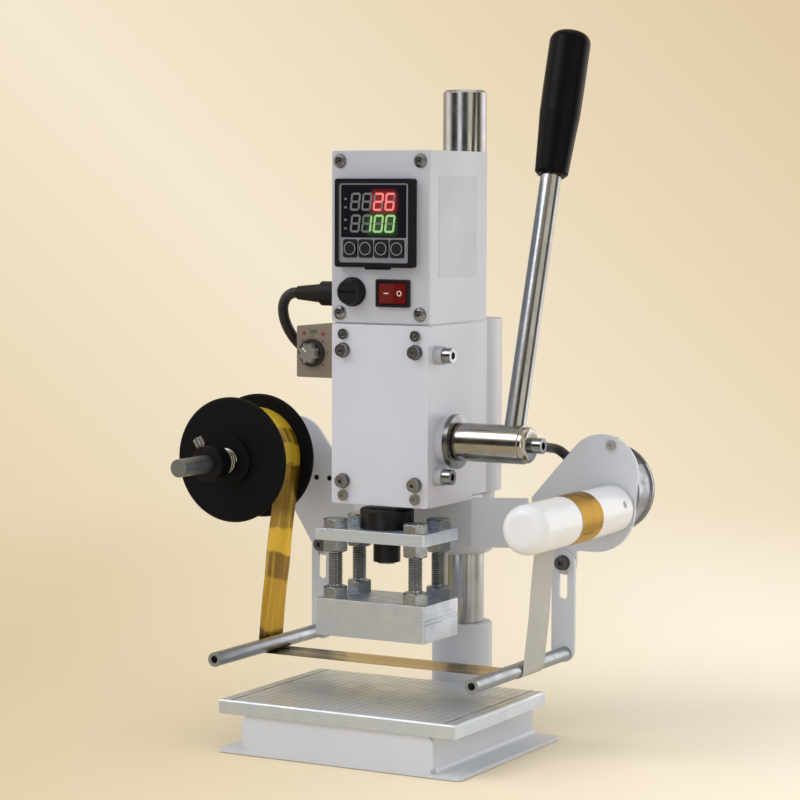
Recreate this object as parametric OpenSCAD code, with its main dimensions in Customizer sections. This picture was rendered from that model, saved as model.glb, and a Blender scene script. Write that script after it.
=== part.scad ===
// Hand-lever hot foil stamping machine: a heated block on a rack-driven ram,
// a head clamped on a column, and a foil web led under the block.
// Millimetres, +Z up. The origin lies on the ram axis, on the bench.
// +X is the lever side, -Y the front.

/* [Base] */
// Width of the folded base box
base_w = 118; // [100:1:140]
// Depth of the base box
base_d = 122; // [115:1:150]
// Ram axis to the front wall of the base
base_front = 56; // [50:1:62]
// Height of the base deck
base_h = 22; // [18:1:23]
// Thickness of the base sheet
base_t = 2; // [1.5:0.1:3]
// Width of each foot flange
flange_w = 16; // [10:1:25]
// Width of the tongue under the column
tongue_w = 38; // [36:1:60]

/* [Work table] */
// Width of the work table
table_w = 146; // [125:1:160]
// Depth of the work table
table_d = 108; // [90:1:112]
// Ram axis to the front edge of the table
table_front = 57.5; // [52:0.5:60]
// Thickness of the work table
table_t = 7.7; // [6:0.1:9]

/* [Column] */
// Ram axis to column axis
throat = 90.4; // [88:0.1:100]
// Diameter of the column
column_d = 25; // [22:0.5:27]
// Height of the column top above the bench
column_top = 365; // [340:1:400]
// Diameter of the column seat
seat_d = 35; // [32:0.5:38]
// Height of the column seat above the deck
seat_h = 36; // [25:1:50]

/* [Head] */
// Width of the head and of the control box
head_w = 60; // [58:0.5:66]
// Depth of the head block, front cover included
head_d = 52.4; // [48:0.1:54]
// Ram axis to the front face of the head
head_front = 9; // [8.5:0.1:11]
// Height of the head's underside above the bench
head_z = 135.5; // [133:0.5:140]
// Height of the head
head_h = 99; // [96:0.5:110]
// Thickness of the front cover
cover_t = 3.5; // [2.5:0.1:4.5]
// Diameter of the column boss
boss_d = 44.4; // [40:0.2:50]
// Diameter of the boss below the head
boss_low_d = 37; // [34:0.5:40]
// Length of the boss below the head
boss_low = 37; // [25:1:42]
// Width of the neck between block and boss
neck_w = 40; // [34:1:44]

/* [Ram and lever drive] */
// Width of the ram bar
ram_w = 16; // [14:0.5:20]
// Gear module of rack and pinion
gear_m = 1.25; // [1.1:0.05:1.35]
// Number of pinion teeth
pinion_n = 14; // [12:2:16]
// Back plane of the rack's pitch line, from the ram axis
rack_y = 2.75; // [2:0.05:3.5]
// Height of the lever axis above the bench
pivot_z = 171; // [168:0.5:182]
// Diameter of the pinion shaft
shaft_d = 12; // [10:0.5:13]
// Diameter of the lever hub
hub_d = 21; // [20:0.5:24]
// Length of the lever hub
hub_len = 43.7; // [42:0.1:48]
// Diameter of the bush flange
bush_flange_d = 30; // [28:0.5:32]
// Diameter of the lever rod
lever_d = 11.5; // [10:0.5:12]
// Lever length from its axis to the top of the grip
lever_len = 236; // [200:1:280]
// Backward lean of the lever at rest, in degrees
lever_lean = 17.5; // [5:0.5:25]
// Length of the grip
grip_len = 84; // [70:1:110]
// Diameter of the grip at its foot
grip_d1 = 18.5; // [16:0.5:20]
// Diameter of the grip near its top
grip_d2 = 23; // [20:0.5:26]

/* [Heated block] */
// Width of the upper plate and the heated block
block_w = 68; // [62:1:80]
// Depth of the upper plate and the heated block
block_d = 40; // [38:1:44]
// Height of the heated block
block_h = 20.4; // [18:0.2:24]
// Height of the block's underside above the bench
block_z = 63.3; // [62:0.1:66]
// Thickness of the upper plate
plate_t = 6.5; // [5:0.5:8]
// Drop of the upper plate's underside below the head
plate_drop = 19.5; // [19:0.5:21.5]
// Spacing of the studs, side to side
stud_dx = 50; // [44:0.5:52]
// Spacing of the studs, front to back
stud_dy = 26.5; // [24:0.5:27]
// Thread diameter of the studs
stud_d = 7; // [6:0.5:8]
// Width across flats of stud heads and nuts
stud_af = 13; // [12:0.5:13]
// Diameter of a heater cartridge
heater_d = 8; // [6:0.5:9]

/* [Foil path] */
// Width of the foil
foil_w = 26; // [20:1:26]
// Middle of the foil behind the ram axis
foil_y = 9; // [4:0.5:10]
// Distance of each guide rod from the mid plane
rod_x = 79.5; // [76:0.5:82]
// Height of the guide rods above the bench
rod_z = 50; // [47:0.5:54]
// Diameter of the guide rods
rod_d = 8; // [6:0.5:9]
// Length of the guide rods
rod_len = 114; // [100:1:125]
// Distance of the reel axis from the mid plane
reel_x = 97; // [95:0.5:102]
// Height of the reel axis above the bench
reel_z = 155.5; // [152:0.5:160]
// Diameter of the reel discs
disc_d = 71; // [66:1:74]
// Thickness of a reel disc
disc_t = 3; // [2:0.5:3]
// Outer diameter of the foil roll
roll_d = 56; // [44:1:58]
// Diameter of the reel shaft
reel_shaft_d = 10; // [8:0.5:12]
// Distance of the take-up roller axis from the mid plane
roller_x = 107; // [105:0.5:109]
// Height of the take-up roller axis above the bench
roller_z = 133; // [130:0.5:138]
// Diameter of the take-up roller
roller_d = 26.5; // [22:0.5:30]
// Length of the take-up roller
roller_len = 112; // [90:1:120]

/* [Foil bracket] */
// Front face of the ears, behind the ram axis
ear_y = 64; // [60:0.5:65]
// Thickness of bracket and arm sheet
bracket_t = 2; // [1.5:0.1:2.5]
// Height of the bracket bar
bar_h = 28; // [24:0.5:30]
// Width of a slotted arm
arm_w = 14; // [12:0.5:16]
// Travel that the arm slots allow
arm_travel = 18; // [12:0.5:20]
// Clamping screw above the guide rod
arm_screw_rise = 51; // [48:0.5:54]
// Diameter of the gear motor can
motor_d = 50; // [46:1:54]
// Depth of the gear motor can
motor_h = 22; // [16:1:30]

/* [Control box] */
// Height of the control box
box_h = 94.6; // [92:0.2:110]
// Depth of the control box, panel included
box_d = 69; // [66:0.5:72]
// Wall of the control box
box_wall = 1.5; // [1:0.1:2.5]
// Thickness of the control panel
panel_t = 2; // [1.5:0.1:3]
// Side of the square controller bezel
bezel_w = 48; // [46:0.5:50]
// Depth of the bezel in front of the panel
bezel_t = 5.5; // [4:0.5:8]
// Diameter of the fuse holder cap
fuse_d = 16; // [13:0.5:17]
// Width of the rocker switch frame
switch_w = 20.6; // [18:0.2:22]
// Height of the rocker switch frame
switch_h = 15; // [13:0.5:15.5]

/* [Timer] */
// Width of the timer
timer_w = 22.5; // [20:0.5:26]
// Height of the timer
timer_h = 28.4; // [25:0.2:30]
// Depth of the timer
timer_d = 50; // [44:1:56]
// Diameter of the timer dial
dial_d = 15.5; // [12:0.5:18]

/* [Cables] */
// Diameter of the timer cable
timer_cable_d = 6; // [5:0.5:6.5]
// Diameter of the motor cable
motor_cable_d = 5.5; // [4.5:0.5:6]

/* [Hidden] */
$fn = 48;
eps = 0.01;
// Clearances: turning or sliding fit, seat of a fixed piece, free gap between bodies
run_gap = 0.05;
seat_gap = 0.02;
free_gap = 0.3;

white = "#d3d4d7";
black = "#1c1b1d";
steel = "#a9aaa8";
chrome = "#c4c6c8";
alu = "#b4b5b1";
gold = "#c79a24";

// Rack and pinion
pitch_r = gear_m * pinion_n / 2;
pressure = 25;
tip_r = pitch_r + 0.9 * gear_m;
root_r = pitch_r - 1.2 * gear_m;
backlash = 0.12;
pivot_y = rack_y + pitch_r;
rack_pitch = PI * gear_m;
pinion_w = ram_w - 2;

// Head and ram
head_back = head_d - head_front;
head_top = head_z + head_h;
ram_front = -head_front + cover_t + 2 * run_gap;
ram_back = rack_y + 0.9 * gear_m;
ram_top = head_top - 6;
collar_h = 11;
collar_d = 30;
plate_z = head_z - plate_drop;
plate_top = plate_z + plate_t;
collar_z = plate_top;
ram_foot = plate_top;
ram_stud_d = 10;
ram_nut_d = 15;
ram_nut_h = 12;
block_top = block_z + block_h;
nut_h = 6.5;
bolt_head_h = 5.3;
stud_bite = 7.5;

// Bushes and hub along X
bush_d = shaft_d + 6;
bush_in = ram_w / 2 + 3.5;
bush_flange_t = 3;
left_wall = 3;
// Faced bosses on the head's right side, for the lever's bush and for the guide screws
boss_out = 5.5;
pivot_boss_d = 26;
pivot_face = head_w / 2 + boss_out;
hub_x = pivot_face + bush_flange_t + free_gap;
hub_end = hub_x + hub_len;
lever_x = hub_end - 11.6;
shaft_end = lever_x - lever_d / 2 - 3;
hub_nose = 4.5;
hub_step = 0.6;
hub_round = 2.5;
hub_screw_d = 5;
hub_screw_head = 8.5;
hub_screw_head_h = 7;
hub_screw_bite = 4.5;

// Foil web
foil_t = 0.2;
foil_rod_r = rod_d / 2 + free_gap + foil_t / 2;
foil_roll_r = roll_d / 2 + free_gap + foil_t / 2;
foil_roller_r = roller_d / 2 + 0.2 + free_gap + foil_t / 2;
rod_back = ear_y - bracket_t - run_gap;
rod_front = rod_back - rod_len;
arm_screw_z = rod_z + arm_screw_rise;
arm_slot_w = 5.2;
arm_screw_d = 5;
arm_head = 7.4;
arm_head_h = 3;

// Reel stack along Y, from the front: lock collar, spring, discs with the roll
disc_gap = foil_w + 1;
disc_y0 = foil_y - disc_gap / 2 - disc_t;
disc_y1 = foil_y + disc_gap / 2;
hub_ring_d = 28;
hub_ring_t = 3;
core_d = 25.4;
spring_len = 12;
spring_wire = 1.4;
spring_r = 6.7;
spring_turns = 4;
spring_y1 = disc_y0 - hub_ring_t - free_gap;
lock_t = 10;
lock_d = 20;
lock_y1 = spring_y1 - spring_len;
lock_y0 = lock_y1 - lock_t;
reel_shaft_front = lock_y0 - 28;
shoulder_d = reel_shaft_d + 6;

// Bracket plan: middle panel behind the block, wings swept back to the ears
bar_z1 = head_z;
bar_z0 = bar_z1 - bar_h;
panel_x = 26;
panel_y = head_back + 7;
ear_x = 57;
relief_w = 2.5;
lip_d = 18;
// Right ear: lobe over the motor, lower lobe, then the tab that carries the arm
lobe_hi = [roller_x - 7, roller_z + 19];
lobe_hi_r = 21.7;
lobe_lo = [roller_x - 11, roller_z - 1];
lobe_lo_r = 24;
left_ear_r = 20;
arm_x = rod_x - 1.5;
tab_z = arm_screw_z - 7;
// Motor behind the right ear
motor_c = [roller_x - 10, roller_z + 9];
motor_screw_r = motor_d / 2 + 2.5;
motor_screw_a = 71;
motor_lug_r = 4.5;
grommet_rise = 35;
motor_shaft_d = 6;
motor_y = ear_y + bracket_t;

// Control box
box_z = head_top;
seam_h = 1;
seam_in = 0.8;
box_back = box_d - head_front;
panel_y1 = -head_front + panel_t;
bezel_x = -1.2;
bezel_z = box_z + 0.585 * box_h;
case_w = bezel_w - 3;
case_d = box_d - panel_t - box_wall - 12;
face_y = -head_front - bezel_t;
button_n = 4;
button_w = 8.2;
button_h = 9.2;
button_pitch = 9.7;
button_up = 10.2;
button_travel = 0.8;
clip_tab_x = [-4.1, 3.8];
clip_tab_w = 6.2;
clip_tab_h = 1.2;
button_stand = 0.9;
fuse_x = -16.5;
fuse_up = 0.188 * box_h;
fuse_cap_t = 6;
fuse_len = 32;
fuse_well = 12;
fuse_rim = 6;
switch_x = 8.8;
switch_up = 0.184 * box_h;
switch_t = 2;
rocker_w = switch_w - 4;
rocker_h = switch_h - 4;

// Timer on the left side of the head
timer_x1 = -head_w / 2;
timer_x = timer_x1 - timer_w / 2;
timer_z1 = head_top - 1.7;
timer_zc = timer_z1 - timer_h / 2;
timer_y0 = -head_front;
dial_t = 6;
dial_x = timer_x - 1;
dial_z = timer_zc - 0.6;
dial_rim = 1.6;
knob_d = 11.5;
dial_lobes = 8;

// Screws by thread size: shank, head, head height, key
m3_d = 3;
m3_head = 5.5;
m3_head_h = 1.8;
m3_key = 2;
m4_d = 4;
m4_head = 7;
m4_head_h = 2.6;
m4_key = 3;
m5_d = 5;
m5_head = 8.5;
m5_head_h = 5;
m5_key = 4.6;
m8_d = 8;
m8_head = 13;
m8_head_h = 8;
m8_key = 7;
m10_d = 10;
m10_head = 18.5;
m10_head_h = 6.4;
m10_bite = 20;
washer_t = 1;

// Cable routes, chosen by hand
gland_d = 13.6;
gland_len = 13;
boot_d = 10.6;
boot_len = 15;
boot_x = -head_w / 2 - gland_len - boot_len;
timer_cable_route = [
    [boot_x, 2, box_z + 16], [boot_x - 3, 2, box_z + 16], [-66.5, 3.5, box_z + 13.5],
    [-70.5, 6, box_z + 8], [-72, 10, box_z + 0.5], [-71, 14.5, box_z - 7], [-68, 19, box_z - 13.5],
    [-64, 22.5, box_z - 17.5], [timer_x1 - timer_w - 6.5, 24, box_z - 18.5],
    [timer_x1 - timer_w - 3.5, 24, box_z - 18.5]
];
timer_cable_end = timer_cable_route[len(timer_cable_route) - 1];
gland_y = timer_cable_route[0][1];
gland_z = timer_cable_route[0][2];
grommet_wall = 2;
motor_gland_len = 8;
motor_gland_d = 11;
motor_grommet_r = motor_d / 2 + 4;
function grommet_at(r) = [motor_c[0] - r * cos(grommet_rise), motor_y + motor_h / 2,
    motor_c[1] + r * sin(grommet_rise)];
motor_cable_route = [
    [-22, box_back + motor_gland_len, box_z + 8.5], [-22, box_back + motor_gland_len + 4, box_z + 8.5],
    [-25, 82, box_z + 6], [-30, 93, 232], [-32, 104, 217], [-28, 113, 200], [-18, 120, 184],
    [-4, 122.5, 171.5], [11, 121, 164.5], [25, 115, 161.8], [37, 107, 161.2], [47.5, 97.5, 161.5],
    [56.5, 88.5, 162], [63.5, 81.5, 162.4], grommet_at(motor_grommet_r + 5), grommet_at(motor_grommet_r)
];
motor_cable_end = motor_cable_route[len(motor_cable_route) - 1];
motor_gland_x = motor_cable_route[0][0];
motor_gland_z = motor_cable_route[0][2];

// Helpers

// Round rod along X from x0 to x1, through y and z
module x_rod(d, x0, x1, y = 0, z = 0)
    translate([x0, y, z]) rotate([0, 90, 0]) cylinder(d = d, h = x1 - x0);

// Round rod along Y from y0 to y1, through x and z
module y_rod(d, y0, y1, x = 0, z = 0)
    translate([x, y0, z]) rotate([-90, 0, 0]) cylinder(d = d, h = y1 - y0);

// Plane shape in X and Z, pushed back from y0 by t
module front_plate(y0, t)
    translate([0, y0 + t, 0]) rotate([90, 0, 0]) linear_extrude(t) children();

// Plane shape in Y and Z, pushed along X from x0 by w
module side_plate(x0, w)
    translate([x0, 0, 0]) rotate([90, 0, 90]) linear_extrude(w) children();

// Box from its two corners
module corner_box(a, b)
    translate(a) cube(b - a);

// Rectangle about its middle with round corners
module round_rect(w, h, r) {
    square([w - 2 * r, h], center = true);
    square([w, h - 2 * r], center = true);
    for (x = [-1, 1], y = [-1, 1])
        translate([x * (w / 2 - r), y * (h / 2 - r)]) circle(r);
}

// Two discs and the tangent strip between them
module link_shape(a, ra, b, rb) {
    d = b - a;
    turn = atan2(d[1], d[0]);
    open = acos((ra - rb) / norm(d));
    sides = [[cos(turn + open), sin(turn + open)], [cos(turn - open), sin(turn - open)]];
    // The strip's corners lie just inside the discs, so that the edges cross cleanly
    in = 0.998;
    translate(a) circle(ra);
    translate(b) circle(rb);
    polygon([
        a + in * ra * sides[0], b + in * rb * sides[0],
        b + in * rb * sides[1], a + in * ra * sides[1]
    ]);
}

// Socket cap screw: head from z = 0 up, shank down
module cap_screw(d, len, head_d, head_h, key) {
    difference() {
        cylinder(d = head_d, h = head_h);
        translate([0, 0, head_h * 0.4]) cylinder(d = key, h = head_h, $fn = 6);
    }
    translate([0, 0, -len]) cylinder(d = d, h = len + eps);
}

// Points to both sides of a path, as one closed outline
function path_dir(p, i) = let (
        a = p[max(i - 1, 0)],
        b = p[min(i + 1, len(p) - 1)]
    ) (b - a) / norm(b - a);
function path_side(p, t) = [
    for (i = [0:len(p) - 1]) let (u = path_dir(p, i)) p[i] + t * [-u[1], u[0]]
];
function ribbon(p, t) = concat(
    path_side(p, t / 2),
    [for (i = [len(p) - 1:-1:0]) path_side(p, -t / 2)[i]]
);
function arc_points(c, r, a0, a1, n) = [
    for (i = [0:n]) let (a = a0 + (a1 - a0) * i / n) c + r * [cos(a), sin(a)]
];

// Smooth curve through the points of a route, with s steps between points and straight ends
function spline_at(a, b, c, d, t) = 0.5 * (
    2 * b + (c - a) * t + (2 * a - 5 * b + 4 * c - d) * t * t
    + (3 * b - a - 3 * c + d) * t * t * t
);
function spline(p, s) = let (n = len(p) - 1) concat(
    [for (i = [0:n - 1], k = [0:i == 0 || i == n - 1 ? 0 : s - 1])
        spline_at(i == 0 ? 2 * p[0] - p[1] : p[i - 1], p[i], p[i + 1],
            i == n - 1 ? 2 * p[n] - p[n - 1] : p[i + 2], k / s)],
    [p[n]]
);

// Tube swept along 3-D points: rings of n sides, closed by two end fans
function unit(v) = v / norm(v);
function tube_dir(p, i) = unit(p[min(i + 1, len(p) - 1)] - p[max(i - 1, 0)]);
function carry(v, t) = unit(v - (v * t) * t);
function frames(p, i, v) = i == len(p) ? [] : let (w = carry(v, tube_dir(p, i)))
    concat([w], frames(p, i + 1, w));
module tube(p, d, n, first) {
    normals = frames(p, 0, first);
    rings = [
        for (i = [0:len(p) - 1], k = [0:n - 1]) let (
            t = tube_dir(p, i), v = normals[i], w = cross(t, v), a = 360 * k / n
        ) p[i] + d / 2 * (cos(a) * v + sin(a) * w)
    ];
    last = len(p) - 1;
    sides = [
        for (i = [0:last - 1], k = [0:n - 1], h = [0, 1]) let (
            a = i * n + k, b = i * n + (k + 1) % n, c = a + n, e = b + n
        ) h == 0 ? [a, c, b] : [b, c, e]
    ];
    caps = [
        for (k = [1:n - 2], h = [0, 1]) h == 0 ? [0, k, k + 1]
            : [last * n, last * n + k + 1, last * n + k]
    ];
    polyhedron(rings, concat(sides, caps), convexity = 6);
}

// Involute pinion outline
function involute(a) = tan(a) * 180 / PI - a;
function tooth_half(r) = 90 / pinion_n - backlash / pitch_r * 180 / PI + involute(pressure)
    - involute(acos(min(1, pitch_r * cos(pressure) / r)));
tooth_steps = 5;
tooth_radii = [for (i = [0:tooth_steps]) root_r + (tip_r - root_r) * i / tooth_steps];
pinion_outline = [
    for (k = [0:pinion_n - 1], side = [-1, 1], i = [0:tooth_steps]) let (
        r = tooth_radii[side < 0 ? i : tooth_steps - i],
        a = 360 * k / pinion_n + side * tooth_half(r)
    ) r * [cos(a), sin(a)]
];

// Rack outline in Y and Z: tips face the pinion
rack_low = pivot_z - 5.5 * rack_pitch;
rack_count = 15;
rack_root = rack_y - 1.2 * gear_m;
rack_half = rack_pitch / 4 - backlash;
function rack_tooth(z) = [
    [rack_root, z - rack_half - 1.2 * gear_m * tan(pressure)],
    [ram_back, z - rack_half + 0.9 * gear_m * tan(pressure)],
    [ram_back, z + rack_half - 0.9 * gear_m * tan(pressure)],
    [rack_root, z + rack_half + 1.2 * gear_m * tan(pressure)]
];

// Tangents of the foil in X and Z
function inner_tangent(a, ra, b, rb, side) = let (
        d = b - a,
        t = atan2(d[1], d[0]) + side * acos((ra + rb) / norm(d)),
        u = [cos(t), sin(t)]
    ) [a + ra * u, b - rb * u, t];
reel_c = [-reel_x, reel_z];
left_c = [-rod_x, rod_z];
right_c = [rod_x, rod_z];
roller_c = [roller_x, roller_z];
feed = inner_tangent(reel_c, foil_roll_r, left_c, foil_rod_r, 1);
take = inner_tangent(right_c, foil_rod_r, roller_c, foil_roller_r, -1);
wrap_steps = 10;

// Positions that screws and their holes share
cover_screw_x = 22.5;
cover_screw_z = [for (e = [4.7, head_h - 5.5]) head_z + e];
washer_screw_z = [for (e = [12.6, head_h - 14.3]) head_z + e];
guide_z = [for (e = [17, head_h - 16]) head_z + e];
guide_y = -0.2;
boss_pad_d = 10;
guide_d = 4;
guide_head_h = 5.2;
cover_screw_len = 11;
cover_head = 6;
cover_head_h = 1.6;
washer_d = 8.5;
clamp_z = [for (e = [15, head_h - 24]) head_z + e];
clamp_d = m8_d;
panel_screw_x = head_w / 2 - 5.1;
panel_screw_z = [for (e = [6.2, box_h - 5.6]) box_z + e];
bracket_screw_x = 14;
bracket_screw_y = panel_y + 9;
bracket_screw_d = m5_d;
bracket_screw_bite = 9;
table_screw_x = base_w / 2 - 14;
table_screw_y = [for (e = [14, base_d - 32]) e - base_front];
gib_t = 3;

module at_studs()
    for (x = [-1, 1], y = [-1, 1]) translate([x * stud_dx / 2, y * stud_dy / 2, 0]) children();

module at_cover_screws(zs)
    for (x = [-1, 1], z = zs) translate([x * cover_screw_x, -head_front, z]) children();

// Base

corner_r = 3;
flap_r = 5;
bend_r = 2.5;

// Deck outline behind the front flap, with the tongue that carries the column
module base_plan(inset) {
    translate([0, base_d / 2 - base_front + base_t / 2])
        round_rect(base_w - 2 * inset, base_d - base_t - 2 * inset, corner_r);
    translate([-tongue_w / 2 + inset, 0]) square([tongue_w - 2 * inset, throat]);
    translate([0, throat]) circle(d = tongue_w - 2 * inset);
}

// Front flap, round at its two upper corners
module base_flap() {
    translate([-base_w / 2, 0]) square([base_w, base_h - flap_r]);
    translate([0, base_h / 2]) round_rect(base_w, base_h, flap_r);
}

// Inside of the bend between side wall and foot flange
module flange_bend(x) difference() {
    translate([x * base_w / 2 - (x < 0 ? bend_r : 0.5), base_t - 0.5]) square([bend_r + 0.5, bend_r + 0.5]);
    translate([x * (base_w / 2 + bend_r), base_t + bend_r]) circle(bend_r);
}

module base_shell() color(white) difference() {
    union() {
        linear_extrude(base_h) base_plan(0);
        front_plate(-base_front, base_t) base_flap();
        for (x = [-1, 1]) {
            translate([x * (base_w + flange_w - corner_r) / 2, base_d / 2 - base_front])
                linear_extrude(base_t) round_rect(flange_w + corner_r, base_d, corner_r);
            front_plate(base_t - base_front + 1, base_d - base_t - 2) flange_bend(x);
        }
    }
    translate([0, 0, -eps]) linear_extrude(base_h - base_t + eps) base_plan(base_t);
    for (x = [-1, 1])
        translate([x * base_w / 2 - relief_w / 2, -base_front - eps, base_t])
            cube([relief_w, base_t + eps, relief_w]);
    for (x = [-1, 1], y = table_screw_y)
        translate([x * table_screw_x, y, 0]) cylinder(d = m5_d + 2 * seat_gap, h = base_h + 1);
    translate([0, throat, 0]) cylinder(d = m10_d + 2 * seat_gap, h = base_h + 1);
}

module table_profile(w, off)
    polygon([[off, 0], [off + w, 0], [off + w, table_t - 0.8], [off + w - 0.8, table_t],
        [off + 0.8, table_t], [off, table_t - 0.8]]);

module work_table() color(alu) difference() {
    translate([0, 0, base_h]) intersection() {
        side_plate(-table_w / 2, table_w) table_profile(table_d, -table_front);
        front_plate(-table_front, table_d) table_profile(table_w, -table_w / 2);
    }
    for (x = [-1, 1], y = table_screw_y)
        translate([x * table_screw_x, y, base_h - 1]) cylinder(d = m5_d + 2 * seat_gap, h = m5_bite + 1.5);
}

m5_bite = 4.5;
// Screws that hold the table and the column from below
module base_bolts() color(steel) {
    for (x = [-1, 1], y = table_screw_y)
        translate([x * table_screw_x, y, base_h - base_t])
            rotate([180, 0, 0]) cap_screw(m5_d, base_t + m5_bite, m5_head, m5_head_h, m5_key);
    translate([0, throat, base_h - base_t]) rotate([180, 0, 0]) {
        cylinder(d = m10_head, h = m10_head_h, $fn = 6);
        translate([0, 0, -base_t - m10_bite]) cylinder(d = m10_d, h = base_t + m10_bite + eps);
    }
}

module column_seat() color(white) translate([0, throat, base_h]) rotate_extrude()
    polygon([[column_d / 2 + seat_gap, 0], [seat_d / 2, 0], [seat_d / 2, seat_h - 1],
        [seat_d / 2 - 1, seat_h], [column_d / 2 + seat_gap, seat_h]]);

module column() color(chrome) translate([0, throat, base_h]) difference() {
    top = column_top - base_h;
    rotate_extrude() polygon([[0, 0], [column_d / 2, 0], [column_d / 2, top - 1.5],
        [column_d / 2 - 1.5, top], [0, top]]);
    translate([0, 0, -eps]) cylinder(d = m10_d + 2 * seat_gap, h = m10_bite + 2);
}

// Head

module head_plan() {
    translate([-head_w / 2, -head_front + cover_t]) square([head_w, head_d - cover_t]);
    translate([-neck_w / 2, 0]) square([neck_w, throat]);
    translate([0, throat]) circle(d = boss_d);
}

module head_body() color(white) difference() {
    union() {
        translate([0, 0, head_z]) linear_extrude(head_h) head_plan();
        for (z = guide_z) x_rod(boss_pad_d, head_w / 2 - eps, head_w / 2 + boss_out, guide_y, z);
        x_rod(pivot_boss_d, head_w / 2 - eps, pivot_face, pivot_y, pivot_z);
        translate([0, throat, head_z - boss_low]) rotate_extrude() polygon([[0, 0],
            [boss_low_d / 2 - 4.5, 0], [boss_low_d / 2 - 1.4, 1.6], [boss_low_d / 2, 5],
            [boss_low_d / 2, boss_low + 1], [0, boss_low + 1]]);
    }
    translate([0, throat, head_z - boss_low - 1])
        cylinder(d = column_d + 2 * run_gap, h = head_h + boss_low + 2);
    // Ram channel, open to the front cover, and the gib pocket beside it
    corner_box([-ram_w / 2 - 2 * run_gap, -head_front, head_z - 1],
        [ram_w / 2 + 2 * run_gap, ram_back + free_gap, head_top - 2]);
    corner_box([0, -head_front, head_z + 8],
        [ram_w / 2 + 2 * run_gap + gib_t + seat_gap, ram_back - 1, head_top - 8]);
    // Pinion pocket and bush bores
    x_rod(2 * tip_r + 1.6, -bush_in, bush_in, pivot_y, pivot_z);
    x_rod(bush_d + 2 * seat_gap, 0, head_w, pivot_y, pivot_z);
    x_rod(bush_d + 2 * seat_gap, -head_w / 2 + left_wall, 0, pivot_y, pivot_z);
    for (z = guide_z) x_rod(guide_d + 2 * seat_gap, 0, head_w, guide_y, z);
    for (z = clamp_z) y_rod(clamp_d + 2 * seat_gap, throat, throat + boss_d, 0, z);
    at_cover_screws(cover_screw_z) rotate([-90, 0, 0])
        cylinder(d = m4_d + 2 * seat_gap, h = cover_screw_len + 2);
    at_cover_screws(washer_screw_z) rotate([-90, 0, 0])
        cylinder(d = m4_d + 2 * seat_gap, h = cover_screw_len + 2);
    for (x = [-1, 1]) translate([x * bracket_screw_x, bracket_screw_y, head_z - 1])
        cylinder(d = bracket_screw_d + 2 * seat_gap, h = bracket_screw_bite + 2);
}

module front_cover() color(white) difference() {
    front_plate(-head_front, cover_t)
        translate([0, head_z + head_h / 2]) round_rect(head_w, head_h, 1);
    for (zs = [cover_screw_z, washer_screw_z])
        at_cover_screws(zs) translate([0, -1, 0]) rotate([-90, 0, 0])
            cylinder(d = m4_d + 2 * seat_gap, h = cover_t + 2);
}

// Four plain screws at the corners and four on washers
module cover_screws() color(steel) {
    at_cover_screws(cover_screw_z) rotate([90, 0, 0])
        cap_screw(m4_d, cover_screw_len, cover_head, cover_head_h, m4_key);
    at_cover_screws(washer_screw_z) rotate([90, 0, 0]) {
        difference() {
            cylinder(d = washer_d, h = washer_t - seat_gap);
            cylinder(d = m4_d + 2 * seat_gap, h = 3 * washer_t, center = true);
        }
        translate([0, 0, washer_t]) cap_screw(m4_d,
            washer_t + head_front + guide_y - guide_d / 2 - 0.4, m4_head, 3, m4_key);
    }
}

// Side screws that press the gib on the ram
module guide_screws() color(chrome) for (z = guide_z)
    translate([head_w / 2 + boss_out, guide_y, z]) rotate([0, 90, 0])
        cap_screw(guide_d, head_w / 2 + boss_out - ram_w / 2 - 2 * run_gap - gib_t,
            m5_head, guide_head_h, m5_key);

module ram_gib() color("#a8823c") corner_box(
    [ram_w / 2 + 2 * run_gap, ram_front, head_z + 9],
    [ram_w / 2 + 2 * run_gap + gib_t, ram_back - 1.2, head_top - 9]);

// Flanged bush at the lever side and a plain one at the far side
module pivot_bushes() color(steel) difference() {
    union() {
        x_rod(bush_d, bush_in, pivot_face + eps, pivot_y, pivot_z);
        x_rod(bush_flange_d, pivot_face, pivot_face + bush_flange_t, pivot_y, pivot_z);
        x_rod(bush_d, -head_w / 2 + left_wall, -bush_in, pivot_y, pivot_z);
    }
    x_rod(shaft_d + 2 * run_gap, -head_w, head_w, pivot_y, pivot_z);
}

module clamp_screws() color(steel) for (z = clamp_z)
    translate([0, throat + boss_d / 2 + 0.5, z]) rotate([-90, 0, 0])
        cap_screw(clamp_d, boss_d / 2 + 0.5 - column_d / 2 - 2 * run_gap,
            m8_head, m8_head_h, m8_key);

// Foil bracket

module right_ear() difference() {
    union() {
        link_shape(lobe_hi, lobe_hi_r, lobe_lo, lobe_lo_r);
        link_shape([ear_x, bar_z1 - 1], 1, lobe_hi, lobe_hi_r);
        link_shape([ear_x, bar_z0 + 1], 1, lobe_lo, lobe_lo_r);
        polygon([[ear_x - 1, bar_z0 + 1], [ear_x - 1, bar_z1 - 1], lobe_hi, lobe_lo]);
        translate([arm_x, tab_z + arm_w / 2]) circle(d = arm_w);
        translate([arm_x - arm_w / 2, tab_z + arm_w / 2])
            square([arm_w, lobe_lo[1] - tab_z - arm_w / 2]);
    }
    translate(roller_c) circle(d = motor_shaft_d + 3);
    for (a = [0, 180]) translate(motor_c + motor_screw_r
        * [cos(motor_screw_a + a), sin(motor_screw_a + a)]) circle(d = m3_d + 2 * seat_gap);
    translate([arm_x, arm_screw_z]) circle(d = arm_screw_d + 2 * seat_gap);
}

spare_hole_x = [14, 22.7];
spare_hole_drop = 15.8;

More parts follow.
